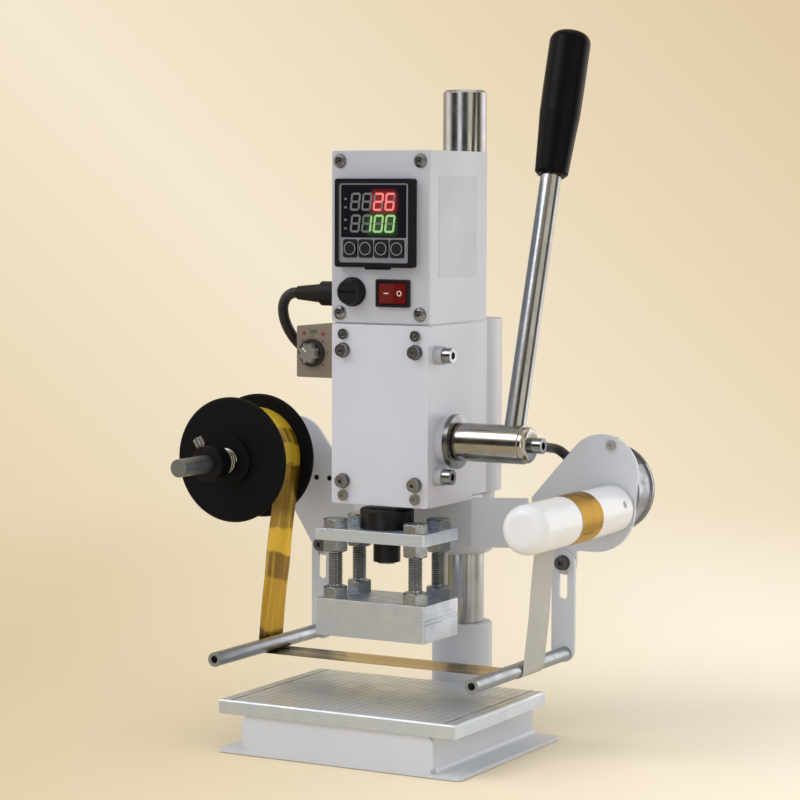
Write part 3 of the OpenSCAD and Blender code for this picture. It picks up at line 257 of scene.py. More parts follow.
@dataclass(frozen=True)
class PowderCoat(Finish):
    """Powder coat baked on steel: an even pale coat, softly glossy, with an orange-peel skin.

    Attributes:
        tint: Colour of the coat's thinner patches.
        peel: Size of the orange peel.
        depth: Depth of the orange peel.
        patch: Size of the patches.
        rubbed: Colour of the painted highlight on the edges.
    """

    tint: str = "#c2c2c6"
    peel: float = 1.1
    depth: float = 0.012
    patch: float = 38.0
    rubbed: str = "#e6e6e8"

    def dress(self, tree: Tree) -> Sockets:
        """Adds the peel, a faint unevenness of the coat and a painted highlight along the edges.

        Args:
            tree: The material's nodes.

        Returns:
            The shader's sockets.
        """
        place = add(tree, "TexCoord", out="Object")
        cloud = add(tree, "TexNoise", {"Vector": place, "Scale": per_mm(self.patch), "Detail": 3.0})
        coat = add(tree, "Mix", {0: cloud, 6: self.tint, 7: self.colour}, 2, data_type="RGBA")
        gloss = add(tree, "MapRange", {"Value": cloud, "To Min": self.roughness - 0.06,
                                       "To Max": self.roughness + 0.06})
        peel = add(tree, "TexNoise", {"Vector": place, "Scale": per_mm(self.peel), "Detail": 1.0})
        # The edges are lightened: a painted highlight where they catch the light
        coat = self.painted(tree, self.wear(tree, coat, self.rubbed))
        return {"Base Color": coat, "Roughness": gloss, "Normal": self.skin(tree, peel, self.depth)}


@dataclass(frozen=True)
class Metal(Finish):
    """Bare or plated metal: streaks left by the tool, and duller clouds where it is handled.

    Attributes:
        shadow: Colour of the streaks' dark side.
        grain: Size of the streaks along X, Y and Z.
        depth: Depth of the streaks.
        cloud: Size of the clouds.
        paint: Roughness of painted stretches.
    """

    shadow: str = "#8c8d8c"
    grain: tuple[float, float, float] = (0.4, 0.4, 0.4)
    depth: float = 0.004
    cloud: float = 14.0
    paint: float = 0.45

    def dress(self, tree: Tree) -> Sockets:
        """Adds the tool's streaks, handling clouds and any painted zones.

        Args:
            tree: The material's nodes.

        Returns:
            The shader's sockets.
        """
        place = add(tree, "TexCoord", out="Object")
        turned = add(tree, "Mapping", {"Vector": place, "Scale": [per_mm(size) for size in self.grain]})
        streak = add(tree, "TexNoise", {"Vector": turned, "Scale": 1.0, "Detail": 3.0, "Roughness": 0.6})
        cloud = add(tree, "TexNoise", {"Vector": place, "Scale": per_mm(self.cloud), "Detail": 2.0})
        both = add(tree, "Math", {0: streak, 1: cloud}, operation="ADD")
        tone = add(tree, "MapRange", {"Value": both, "From Min": 0.65, "From Max": 1.3})
        colour = add(tree, "Mix", {0: tone, 6: self.shadow, 7: self.colour}, 2, data_type="RGBA")
        # The edges are lightened to the main colour: a painted highlight
        colour = self.painted(tree, self.wear(tree, colour, self.colour))
        dull = add(tree, "MapRange", {"Value": both, "From Min": 0.7, "From Max": 1.3,
                                      "To Min": self.roughness * 1.3, "To Max": self.roughness * 0.75})
        metallic = 1.0
        for zone in self.zones:
            inside = self.within(tree, zone)
            dull = add(tree, "Mix", {0: inside, 2: dull, 3: self.paint})
            metallic = add(tree, "Math", {0: metallic, 1: inside}, operation="SUBTRACT", use_clamp=True)
        return {"Base Color": colour, "Roughness": dull, "Metallic": metallic,
                "Normal": self.skin(tree, streak, self.depth)}


@dataclass(frozen=True)
class RuledPlate(Metal):
    """Milled aluminium ruled in small squares: dark lines of painted groove shade, each edged with a painted
    burr highlight.

    Attributes:
        pitch: Side of a square.
        line: Width of a ruled line, drawn wider than the real one so that it shows.
        top: Height of the ruled face.
        border: Distance of the border line from the middle.
        worn: Size of the worn patches.
        inks: The painted burr highlight's and groove shade's reach, in widths of a line, and colour.
    """

    pitch: float = 5.0
    line: float = 0.6
    top: float = 29.7
    border: float = 66.0
    worn: float = 22.0
    inks: tuple[tuple[float, str], ...] = ((1.9, "#f2f6fa"), (0.8, "#5d6264"))

    def dress(self, tree: Tree) -> Sockets:
        """Adds the ruled squares to the milled metal.

        Args:
            tree: The material's nodes.

        Returns:
            The shader's sockets.
        """
        sockets = super().dress(tree)
        place = add(tree, "TexCoord", out="Object")
        across, along, height = add(tree, "SeparateXYZ", {0: place}).node.outputs
        nearest = across
        for operation, value in (("ABSOLUTE", 0), ("SUBTRACT", self.border * MM), ("ABSOLUTE", 0),
                                 ("MULTIPLY", 0.4)):
            nearest = add(tree, "Math", {0: nearest, 1: value}, operation=operation)
        for axis in (across, along):
            wave = add(tree, "Math", {0: axis, 1: self.pitch / 2 * MM}, operation="PINGPONG")
            nearest = add(tree, "Math", {0: nearest, 1: wave}, operation="MINIMUM")
        face = add(tree, "Math", {0: height, 1: (self.top - 0.1) * MM}, operation="GREATER_THAN")
        worn = add(tree, "TexNoise", {"Vector": place, "Scale": per_mm(self.worn), "Detail": 3.0})
        faint = add(tree, "MapRange", {"Value": worn, "From Min": 0.3, "From Max": 0.7, "To Min": 0.45})
        shown = add(tree, "Math", {0: face, 1: faint}, operation="MULTIPLY")
        # The wide pale line is a painted burr highlight, the narrow dark one painted shade in the groove
        for reach, ink in self.inks:
            width = self.line * reach * MM
            ruled = add(tree, "MapRange", {"Value": nearest, "From Min": width * 0.35,
                                           "From Max": width * 0.65, "To Min": 1.0, "To Max": 0.0})
            drawn = add(tree, "Math", {0: ruled, 1: shown}, operation="MULTIPLY")
            colour = {0: drawn, 6: sockets["Base Color"], 7: ink}
            sockets["Base Color"] = add(tree, "Mix", colour, 2, data_type="RGBA")
        sockets["Roughness"] = add(tree, "Mix", {0: drawn, 2: sockets["Roughness"], 3: 0.7})
        return sockets


@dataclass(frozen=True)
class Plastic(Finish):
    """Moulded plastic or rubber: a fine spark-eroded grain, and handled patches that are glossier, their
    lighter colour a painted highlight.

    Attributes:
        sheen: Colour of the polished, handled areas, mostly lighter as a painted highlight.
        grain: Size of the mould's grain.
        depth: Depth of the grain.
        coat: Gloss of a polished skin.
        shine: How strongly the bare skin mirrors the room.
        handled: Size of the handled areas.
    """

    sheen: str = "#2a292c"
    grain: float = 0.5
    depth: float = 0.02
    coat: float = 0.0
    shine: float = 0.5
    handled: float = 11.0

    def dress(self, tree: Tree) -> Sockets:
        """Adds the mould's grain and the handled areas.

        Args:
            tree: The material's nodes.

        Returns:
            The shader's sockets.
        """
        place = add(tree, "TexCoord", out="Object")
        cloud = add(tree, "TexNoise", {"Vector": place, "Scale": per_mm(self.handled), "Detail": 3.0})
        # Handled patches are glossier, and their lighter colour is a painted highlight
        colour = add(tree, "Mix", {0: cloud, 6: self.colour, 7: self.sheen}, 2, data_type="RGBA")
        gloss = add(tree, "MapRange", {"Value": cloud, "To Min": self.roughness + 0.08,
                                       "To Max": self.roughness - 0.08})
        grain = add(tree, "TexNoise", {"Vector": place, "Scale": per_mm(self.grain), "Detail": 1.0})
        # The edges are lightened towards the handled colour: a painted highlight
        return {"Base Color": self.painted(tree, self.wear(tree, colour, self.sheen)), "Roughness": gloss,
                "Specular IOR Level": self.shine, "Coat Weight": self.coat, "Coat Roughness": 0.12,
                "Normal": self.skin(tree, grain, self.depth)}


@dataclass(frozen=True)
class FoilFilm(Finish):
    """Metallised stamping film: a limp mirror, with its reflections painted on in stripes, and fine streaks
    along the web painted as glints.

    Attributes:
        axis: The coordinate that the bands follow.
        bands: Start of each painted reflection stripe along the axis, with its colour.
        tilt: How far a band's edge leans along the axis for each millimetre across.
        streak: Width and length of a streak.
        mirror: How metallic the film looks.
        sway: Size of the bows in the bands' edges, and how far they go.
        depth: Depth of the streaks.
    """

    axis: Axis = Axis.Z
    bands: tuple[tuple[float, str], ...] = ((0.0, "#b1b0ab"), (40.0, "#bbbab5"))
    tilt: float = 0.2
    streak: Pair = (5.0, 70.0)
    mirror: float = 0.8
    sway: Pair = (19.0, 11.0)
    depth: float = 0.2

    def dress(self, tree: Tree) -> Sockets:
        """Adds the painted reflection stripes and the streaks, painted as glints, which also bend the
        reflections.

        Args:
            tree: The material's nodes.

        Returns:
            The shader's sockets.
        """
        place = add(tree, "TexCoord", out="Object")
        axes = add(tree, "SeparateXYZ", {0: place}).node.outputs
        sway = add(tree, "TexNoise", {"Vector": place, "Scale": per_mm(self.sway[0]), "Detail": 1.0})
        bent = axes[self.axis.value]
        for source, share in ((axes[1], self.tilt), (sway, self.sway[1] * MM)):
            bent = add(tree, "Math", {0: source, 1: share, 2: bent}, operation="MULTIPLY_ADD")
        start, end = self.bands[0][0], self.bands[-1][0] + 20
        share = add(tree, "MapRange", {"Value": bent, "From Min": start * MM, "From Max": end * MM})
        reflection_stripe_colour = add(tree, "ValToRGB", {"Fac": share})
        stops = reflection_stripe_colour.node.color_ramp.elements
        stops.remove(stops[1])
        stops[0].color = linear(self.bands[0][1])
        for (_, last), (low, code) in zip(self.bands, self.bands[1:]):
            for side, colour in ((-0.006, last), (0.006, code)):
                stops.new((low - start) / (end - start) + side).color = linear(colour)
        width, length = (per_mm(size) for size in self.streak)
        drawn = add(tree, "Mapping", {"Vector": place, "Scale": (length, width, length)})
        streak = add(tree, "TexNoise", {"Vector": drawn, "Scale": 1.0, "Detail": 2.0})
        # Streaks are painted glints, lightened towards the film's colour
        bright = add(tree, "MapRange", {"Value": streak, "From Min": 0.5, "From Max": 0.62, "To Max": 0.55})
        colour = add(tree, "Mix", {0: bright, 6: reflection_stripe_colour, 7: self.colour}, 2, data_type="RGBA")
        return {"Base Color": colour, "Roughness": self.roughness, "Metallic": self.mirror,
                "Normal": self.skin(tree, streak, self.depth)}


@dataclass(frozen=True)
class Glow(Finish):
    """A lit light-emitting segment: its own light, paler than its halo.

    Attributes:
        strength: How bright the light is.
        patch: Size of its brighter patches.
    """

    strength: float = 1.0
    patch: float = 2.5

    def dress(self, tree: Tree) -> Sockets:
        """Adds the light, a little uneven along each segment.

        Args:
            tree: The material's nodes.

        Returns:
            The shader's sockets.
        """
        place = add(tree, "TexCoord", out="Object")
        uneven = add(tree, "TexNoise", {"Vector": place, "Scale": per_mm(self.patch)})
        light = add(tree, "MapRange", {"Value": uneven, "To Min": 0.75 * self.strength,
                                       "To Max": 1.15 * self.strength})
        return {"Base Color": "#202020", "Roughness": self.roughness, "Emission Color": self.colour,
                "Emission Strength": light}


@dataclass(frozen=True)
class Field:
    """A round-cornered field on the controller's face.

    Attributes:
        centre: Its middle in X and Z.
        size: Its width and height.
        colour: Its colour, sRGB.
        corner: Radius of its corners.
        soft: Width of its soft border.
    """

    centre: Pair
    size: Pair
    colour: str
    corner: float = 2.6
    soft: float = 4.6

    def mask(self, tree: Tree) -> Socket:
        """Makes a mask of the field.

        Args:
            tree: The material's nodes.

        Returns:
            1 inside the field and 0 outside.
        """
        away = add(tree, "TexCoord", out="Object")
        middle = (self.centre[0] * MM, 0, self.centre[1] * MM)
        half = ((self.size[0] / 2 - self.corner) * MM, 0, (self.size[1] / 2 - self.corner) * MM)
        for operation, value in (("MULTIPLY", (1, 0, 1)), ("SUBTRACT", middle), ("ABSOLUTE", (0, 0, 0)),
                                 ("SUBTRACT", half), ("MAXIMUM", (0, 0, 0))):
            away = add(tree, "VectorMath", {0: away, 1: value}, operation=operation)
        away = add(tree, "VectorMath", {0: away}, "Value", operation="LENGTH")
        return add(tree, "MapRange", {"Value": away, "From Min": (self.corner - self.soft / 2) * MM,
                                      "From Max": (self.corner + self.soft / 2) * MM, "To Min": 1.0,
                                      "To Max": 0.0}, interpolation_type="SMOOTHSTEP")


@dataclass(frozen=True)
class PrintedFace(Plastic):
    """Black moulded case whose recessed face carries a grey printed film with a smoked window.

    Attributes:
        face: Furthest front of the printed film along Y.
        film: The film.
        window: The smoked window.
        halos: Glows painted on the window round the lit digits, which stand for the digits' light in it.
    """

    face: float = -13.5
    film: Field = Field((-1.2, 289.84), (43.0, 43.0), "#7c7c7e", 1.2, 0.15)
    window: Field = Field((-1.3, 296.2), (40.6, 28.6), "#17161a", 0.8, 0.15)
    halos: tuple[Field, ...] = (Field((4.9, 301.2), (15.5, 11.8), "#8e1f20"),
                                Field((3.6, 289.4), (18.0, 11.4), "#2b4c1d"))

    def dress(self, tree: Tree) -> Sockets:
        """Adds the printed film, its window and the painted glow on it round the lit digits.

        Args:
            tree: The material's nodes.

        Returns:
            The shader's sockets.
        """
        sockets = super().dress(tree)
        place = add(tree, "TexCoord", out="Object")
        depth = add(tree, "SeparateXYZ", {0: place}, Axis.Y.value)
        front = add(tree, "Math", {0: depth, 1: self.face * MM}, operation="LESS_THAN")
        for field in (self.film, self.window):
            shown = add(tree, "Math", {0: field.mask(tree), 1: front}, operation="MULTIPLY")
            colour = {0: shown, 6: sockets["Base Color"], 7: field.colour}
            sockets["Base Color"] = add(tree, "Mix", colour, 2, data_type="RGBA")
        sockets["Roughness"] = add(tree, "Mix", {0: shown, 2: sockets["Roughness"], 3: 0.16})
        # The window is no lamp: its glow round the lit digits is painted
        light = "#000000"
        for halo in self.halos:
            lit = add(tree, "Math", {0: halo.mask(tree), 1: shown}, operation="MULTIPLY")
            light = add(tree, "Mix", {0: lit, 6: light, 7: halo.colour}, 2, data_type="RGBA")
        return sockets | {"Emission Color": light, "Emission Strength": 1.0}


# Grain of small plated pieces along X, Y and Z
FINE = (0.8, 0.8, 0.8)

# Drawn spring wire is bright, with dark sides
SPRING_STEEL = Metal("bright_spring_wire", "#c5c6c6", 0.18, 0.2, shadow="#8f9090", grain=(1.2, 1.2, 1.2))
# Rolled threads are duller than the nuts beside them, and dark in their roots
THREAD_STEEL = Metal("rolled_thread_steel", "#8c8e91", 0.34, 0.15, shadow="#5b5c5e", grain=(1, 1, 0.5),
                     depth=0.006)
# Black oxide leaves steel almost black, with a faint metal sheen
DARK_STEEL = Metal("black_oxide_steel", "#37373b", 0.4, 0.3, shadow="#222226", grain=FINE, depth=0.01)
# Moulded ABS is a deep half-matt black
BLACK_ABS = Plastic("moulded_black_ABS", "#121113", 0.42, sheen="#1a191b", shine=0.2)
# Extruded PVC is smoother and a shade greyer than the mouldings
CABLE_PVC = Plastic("black_PVC_cable", "#1d1b20", 0.42, sheen="#29262c", grain=0.6, shine=0.3)
# Painted stripes stand in for the room that the gold film mirrors, and follow the bows of each strip
GOLD_FILM = FoilFilm("gold_metallised_film", "#e8c23a", 0.26, bands=(
    (40, "#6f5312"), (64, "#c39a22"), (96, "#86640f"), (109, "#dcb52c"), (124, "#9a7414"), (152, "#b48a1c")))
# Under the block its painted stripes stand in for the mirrored table, and it looks paler
GOLD_SPAN = FoilFilm("gold_metallised_film_span", "#c8b06a", 0.3, axis=Axis.X, tilt=0.6, bands=(
    (-90, "#5e4c20"), (-20, "#b09855"), (44, "#7b6128"), (58, "#a68a42"), (66, "#b88f2e")))
# Many turns on the reel scatter the light, so that the roll hardly mirrors; its light and dark stripes are
# painted
GOLD_ROLL = FoilFilm("gold_metallised_film_roll", "#f4cf3c", 0.34, mirror=0.2, bands=(
    (110, "#b88c1a"), (160, "#e0b62a"), (172, "#86640f"), (181, "#e6bf30")))
# A few tight turns on the white roller are deep gold, with dark stripes of painted reflection
GOLD_BAND = FoilFilm("gold_metallised_film_band", "#a88310", 0.44, mirror=0.92, tilt=0.0, bands=(
    (110, "#b89018"), (132.4, "#6f530a"), (133.2, "#a07b10"), (150.5, "#73550a")))
# The spent film shows its dull back
GREY_FILM = FoilFilm("release_coated_film_back", "#b6b5b0", 0.5, mirror=0.1, bands=(
    (0, "#a5a49f"), (40, "#afaea9")))
# Lit segments are paler than the glow painted on the window round them
RED_LIGHT = Glow("red_segment_light", "#ff8a84")
GREEN_LIGHT = Glow("green_segment_light", "#a9d48c", strength=0.95)
# Unlit segments and lamps are milky grey
DIM_SEGMENT = Plastic("unlit_segment_diffuser", "#626163", 0.5, 0.05, sheen="#6b6a6c", grain=0.4)
# Acrylic lenses are glossy and dark while they are off
LAMP_RED = Plastic("red_lens_acrylic", "#6d1512", 0.18, 0.1, sheen="#8a1d18", coat=0.6)
PATCH_GREEN = Plastic("green_smoked_acrylic", "#4c523c", 0.3, 0.1, sheen="#596047")
# Printed ink is flat and matt
MARK_WHITE = Plastic("pad_printed_white_ink", "#d8cfc9", 0.55, 0.05, sheen="#c9c0ba", grain=0.3)
MARK_GREY = Plastic("pad_printed_grey_ink", "#8d8c8f", 0.55, 0.05, sheen="#7d7c80", grain=0.3)
# Vinyl film is a little smoother and greyer than the paint round it
BLANK_VINYL = Plastic("blank_label_vinyl", "#b3b4b6", 0.4, 0.1, sheen="#bcbdbf", grain=0.4, depth=0.004)

# Finish of every solid
NODE_FINISHES: dict[Finish, tuple[str, ...]] = {
    # White stove paint on steel sheet reads clean and slightly blue
    PowderCoat("powder_coated_steel_white", "#d2d4d7", 0.36, tint="#c4c6c9"): (
        "base_shell", "foil_bracket", "left_arm", "right_arm"),
    # The box and the foot of the column are a shade darker than the rest
    PowderCoat("powder_coated_box_white", "#c7c8cb", 0.38, tint="#b9babe"): ("control_box", "column_seat"),
    # The head is a coated casting, a shade warmer and duller, with flat grey pads under the guide screws
    PowderCoat("powder_coated_cast_iron_white", "#cac9cd", 0.4, 0.6, tint="#bdbcc2", peel=1.6, zones=(
        Zone(Axis.X, 30.4, 36, "#a3a3a4", Stretch(Axis.Z, 157.7, 188)),)): ("head_body", "front_cover"),
    # The control panel is a flat lavender grey
    PowderCoat("powder_coated_panel_grey", "#b6b5b7", 0.45, tint="#aaa9ac"): ("control_panel",),
    # Hard chrome on a ground bar mirrors the room in long stripes
    Metal("hard_chrome_plate", "#abafb6", 0.22, shadow="#91959c", grain=(0.5, 0.5, 60), depth=0.0015): (
        "column",),
    # The lever's thinner bar is polished a little more, and reads darker
    Metal("chrome_plated_lever_rod", "#9ea3ac", 0.2, shadow="#848992", grain=(2, 0.4, 40), depth=0.002): (
        "lever_rod",),
    # Nickel on small screws gives hard lights and dark edges
    Metal("nickel_plated_screw_steel", "#9ba1aa", 0.2, 0.25, shadow="#6d737b", grain=FINE, depth=0.003): (
        "panel_screws", "collar_screw", "hub_screw"),
    Metal("nickel_plated_guide_screws", "#a3a7ad", 0.22, 0.25, shadow="#7b7f85", grain=(0.4, 2, 2)): (
        "guide_screws", "cover_screws"),
    # Bright zinc is paler and softer than nickel
    Metal("bright_zinc_screw_steel", "#c6cacf", 0.34, 0.2, shadow="#a6aaaf", grain=FINE, depth=0.003): (
        "bracket_screws",),
    # Handled black oxide has worn to a dark grey
    Metal("worn_black_oxide_steel", "#77767a", 0.36, 0.4, shadow="#4c4b4e", grain=FINE, depth=0.008): (
        "arm_screws",),
    # Turning leaves fine rings that draw the light into stripes along the hub
    Metal("turned_hub_steel", "#b4b4b3", 0.19, 0.4, shadow="#94938f", grain=(0.35, 9, 9), depth=0.003): (
        "lever_hub",),
    # The bush is turned more coarsely and is darker with oil
    Metal("turned_bush_steel", "#8d8f93", 0.26, 0.3, shadow="#606266", grain=(0.3, 6, 6), depth=0.005): (
        "pivot_bushes", "pinion_shaft"),
    # Zinc plate on forged bolts is bluish and a little mottled
    Metal("zinc_plated_bolt_steel", "#a6aeb9", 0.3, 0.4, shadow="#757c87", grain=(1.5, 1.5, 0.9),
          depth=0.008): ("base_bolts", "block_bolts", "stud_nuts", "heater_cartridges"),
    DARK_STEEL: ("clamp_screws", "lock_collar", "ram_collar", "ram_nut"),
    # Grinding leaves long fine lines up the ram
    Metal("ground_ram_steel", "#a4a4a2", 0.28, 0.3, shadow="#7d7d7b", grain=(0.5, 0.5, 14)): ("ram",),
    # Bronze is a dull brown gold
    Metal("bronze_gib_strip", "#a8823c", 0.35, shadow="#7d5d26"): ("ram_gib",),
    # Sawn and milled aluminium is pale, with cutter lines along the cut
    Metal("milled_aluminium_plate", "#dfecff", 0.42, 0.5, shadow="#c3d0e2", grain=(18, 0.6, 0.5),
          depth=0.01): ("upper_plate",),
    Metal("milled_aluminium_block", "#d7e0ef", 0.42, 0.5, shadow="#bbc4d2", grain=(9, 4, 0.6), depth=0.012): (
        "heater_block",),
    # The ruled table is as pale, under a grid of fine dark lines of painted groove shade, edged with painted
    # burr highlights
    RuledPlate("ruled_aluminium_table", "#dfeaf8", 0.46, 0.6, shadow="#cad6e5", grain=(26, 0.8, 0.8),
               depth=0.008): ("work_table",),
    # Turned aluminium is a soft grey with faint rings
    Metal("turned_aluminium_rod", "#a3aab4", 0.38, 0.4, shadow="#9299a2", grain=(3, 0.4, 3), depth=0.002): (
        "left_rod", "right_rod"),
    Metal("turned_aluminium_shaft", "#9aa0a6", 0.36, 0.4, shadow="#7c8287", grain=(3, 0.4, 3), depth=0.002): (
        "reel_shaft",),
    # The motor can is zinc-plated and mottled, with a lacquered cover at the top and a dark rim
    Metal("zinc_plated_motor_can", "#989da9", 0.36, 0.4, shadow="#70757f", grain=(5, 14, 5), depth=0.02,
          zones=(Zone(Axis.Z, 156.5, 172, "#4a464f"), Zone(Axis.Y, 86.2, 92, "#3b3043"))): ("gear_motor",),
    # The reel's thin discs are a flat black that shows no lights
    Plastic("moulded_black_ABS_reel", "#0d0d0e", 0.5, 0.5, sheen="#111112", grain=0.8, depth=0.015,
            shine=0.08): ("reel_discs",),
    # Soft PVC of the grip is black with a broad faint light
    Plastic("moulded_grip_PVC", "#0a090b", 0.32, 0.8, sheen="#0f0e10", grain=1.6, depth=0.012, shine=0.06): (
        "lever_grip",),
    # Polyamide glands are black and waxy
    Plastic("black_polyamide_gland", "#100f11", 0.5, 0.4, sheen="#171618", shine=0.2): ("cable_glands",),
    BLACK_ABS: ("fuse_body", "fuse_cap", "switch_frame"),
    # The keys are matt with use
    Plastic("moulded_dark_key_ABS", "#141315", 0.5, 0.3, sheen="#1c1b1d", shine=0.2): (
        "set_button", "shift_button", "down_button", "up_button"),
    # The timer is moulded in a dull taupe, its dial in a greyer plastic with a dark skirt
    Plastic("moulded_taupe_ABS", "#746759", 0.5, 0.5, sheen="#7f7262", grain=0.7, shine=0.2): ("timer_case",),
    Plastic("moulded_grey_dial_ABS", "#6b665e", 0.48, 0.3, sheen="#7d786f", shine=0.25, zones=(
        Zone(Axis.Y, -11.6, -8, "#2b2927"),)): ("timer_dial",),
    # Tinted polycarbonate is a deep dark red while it is unlit
    Plastic("translucent_red_polycarbonate", "#570c08", 0.3, 0.4, sheen="#64110b", grain=1.2, depth=0.01,
            shine=0.12): ("switch_rocker",),
    # Turned polyamide is a creamy white with a soft gloss
    Plastic("turned_white_polyamide", "#dad9d6", 0.34, 0.8, sheen="#e2e1de", grain=1.8, depth=0.01,
            coat=0.2): ("take_up_roller",),
    # The controller's case is matt black round a grey print and a glossy smoked window
    PrintedFace("printed_controller_ABS", "#131214", 0.45, sheen="#1a191b", shine=0.1): ("controller_case",),
}


# Modelling by hand


def metres(*sizes: float) -> Vector:
    """A place given in millimetres, in Blender's metres."""
    return Vector([size * MM for size in sizes])


def placed(name: str, data: bpy.types.ID) -> Piece:
    """Makes an object of a mesh, curve, lamp or camera and links it to the scene.

    Args:
        name: Name of the object.
        data: What it holds.

    Returns:
        The object.
    """
    obj = bpy.data.objects.new(name, data)
    bpy.context.scene.collection.objects.link(obj)
    return obj


def alone(obj: Piece) -> None:
    """Selects one object and makes it active.

    Args:
        obj: The object.
    """
    bpy.ops.object.select_all(action="DESELECT")
    obj.select_set(True)
    bpy.context.view_layer.objects.active = obj


def settled(obj: Piece) -> None:
    """Puts a piece's place and turn into its mesh."""
    alone(obj)
    bpy.ops.object.transform_apply(location=True, rotation=True, scale=True)


def begun(name: str, operator: Callable, **settings: object) -> Piece:
    """Adds a primitive, names it and puts its place and turn into its mesh.

    Args:
        name: Name of the piece.
        operator: The operator that adds the primitive.
        **settings: The operator's settings.

    Returns:
        The piece, to be shaped further.
    """
    bpy.ops.object.select_all(action="DESELECT")
    operator(**settings)
    obj = bpy.context.object
    obj.name = name
    obj.data.name = name
    # Text is settled later, when it is a mesh
    if obj.type == "MESH":
        settled(obj)
    return obj


def shaped(obj: Piece, test: FaceTest, operator: Callable, **settings: object) -> None:
    """Runs one edit-mode operator on the faces of a piece that pass a test.

    Args:
        obj: The piece.
        test: Says which faces are selected.
        operator: The operator.
        **settings: The operator's settings.
    """
    alone(obj)
    bpy.ops.object.mode_set(mode="EDIT")
    bpy.ops.mesh.select_mode(type="FACE")
    bpy.ops.mesh.select_all(action="DESELECT")
    bpy.ops.object.mode_set(mode="OBJECT")
    for face in obj.data.polygons:
        face.select = test(face)
    bpy.ops.object.mode_set(mode="EDIT")
    operator(**settings)
    bpy.ops.object.mode_set(mode="OBJECT")


def facing(*direction: float) -> FaceTest:
    """Test for faces that look in a direction."""
    return lambda face: face.normal.dot(Vector(direction)) > 0.9


def capped(face: bpy.types.MeshPolygon) -> bool:
    """Test for the ends of a disc, which have more corners than any other face."""
    return len(face.vertices) > 20


def every(face: bpy.types.MeshPolygon) -> bool:
    """Test that all faces pass."""
    return True


def stepped(obj: Piece, test: FaceTest, *steps: Pair) -> None:
    """Insets the faces that pass a test, in steps of a width and a height each."""
    for width, height in steps:
        shaped(obj, test, bpy.ops.mesh.inset, thickness=width * MM, depth=height * MM)


def pierced(obj: Piece, *steps: Pair) -> None:
    """Insets both ends of a disc in steps, and opens it from end to end."""
    stepped(obj, capped, *steps)
    shaped(obj, capped, bpy.ops.mesh.bridge_edge_loops)


def modified(obj: Piece, kind: str, **settings: object) -> None:
    """Adds a modifier and applies it.

    Args:
        obj: The piece.
        kind: Blender's name of the modifier.
        **settings: The modifier's settings.
    """
    alone(obj)
    modifier = obj.modifiers.new(kind.lower(), kind)
    for key, value in settings.items():
        setattr(modifier, key, value)
    bpy.ops.object.modifier_apply(modifier=modifier.name)


def mended(obj: Piece) -> None:
    """Merges doubled points and turns all faces outwards."""
    shaped(obj, every, bpy.ops.mesh.remove_doubles, threshold=0.005 * MM)
    shaped(obj, every, bpy.ops.mesh.normals_make_consistent, inside=False)


def smoothed(obj: Piece, degrees: float = 35) -> None:
    """Shades a piece smooth, apart from its sharp edges."""
    alone(obj)
    bpy.ops.object.shade_smooth_by_angle(angle=math.radians(degrees))


def copied(obj: Piece, name: str, move: Matrix) -> Piece:
    """Copies a piece, with a mesh of its own, to another place.

    Args:
        obj: The piece that is copied.
        name: Name of the copy.
        move: Where it goes, from where the piece is.

    Returns:
        The copy.
    """
    twin = placed(name, obj.data.copy())
    twin.data.name = name
    twin.data.transform(move)
    return twin


def joined(parts: Sequence[Piece], name: str) -> Piece:
    """Joins several meshes into one piece.

    Args:
        parts: The meshes.
        name: Name of the piece.

    Returns:
        The piece.
    """
    whole = parts[0]
    alone(whole)
    for part in parts[1:]:
        part.select_set(True)
    bpy.ops.object.join()
    whole.name = name
    whole.data.name = name
    return whole


def block(name: str, low: Sequence[float], high: Sequence[float], round_off: float, steps: int = 2) -> Piece:
    """A box with rounded edges.

    Args:
        name: Name of the piece.
        low: Lowest corner.
        high: Highest corner.
        round_off: Edge radius.
        steps: Facets in the rounding.

    Returns:
        The piece.
    """
    middle = [(a + b) / 2 * MM for a, b in zip(low, high)]
    size = [(b - a) * MM for a, b in zip(low, high)]
    obj = begun(name, bpy.ops.mesh.primitive_cube_add, size=1, location=middle, scale=size)
    modified(obj, "BEVEL", width=round_off * MM, segments=steps, limit_method="NONE")
    return obj


def disc(name: str, centre: Vector, radius: float, length: float, sides: int = 40) -> Piece:
    """A round disc along Y about a place in metres, to be shaped further."""
    return begun(name, bpy.ops.mesh.primitive_cylinder_add, vertices=sides, radius=radius * MM,
                 depth=length * MM, rotation=(math.pi / 2, 0, 0), location=centre)


def covered(obj: Piece, finish: Finish) -> None:
    """Gives a piece one finish all over."""
    obj.data.materials.clear()
    obj.data.materials.append(finish.make())


def fitted(obj: Piece, body: str, finish: Finish) -> Piece:
    """Gives a finished piece its material and body.

    Args:
        obj: The piece.
        body: The body that it rides on.
        finish: Its finish.

    Returns:
        The piece.
    """
    covered(obj, finish)
    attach(obj, body)
    log.info("%s rides on %s, in %s", obj.name, body, finish.name)
    return obj


# Sub-assemblies


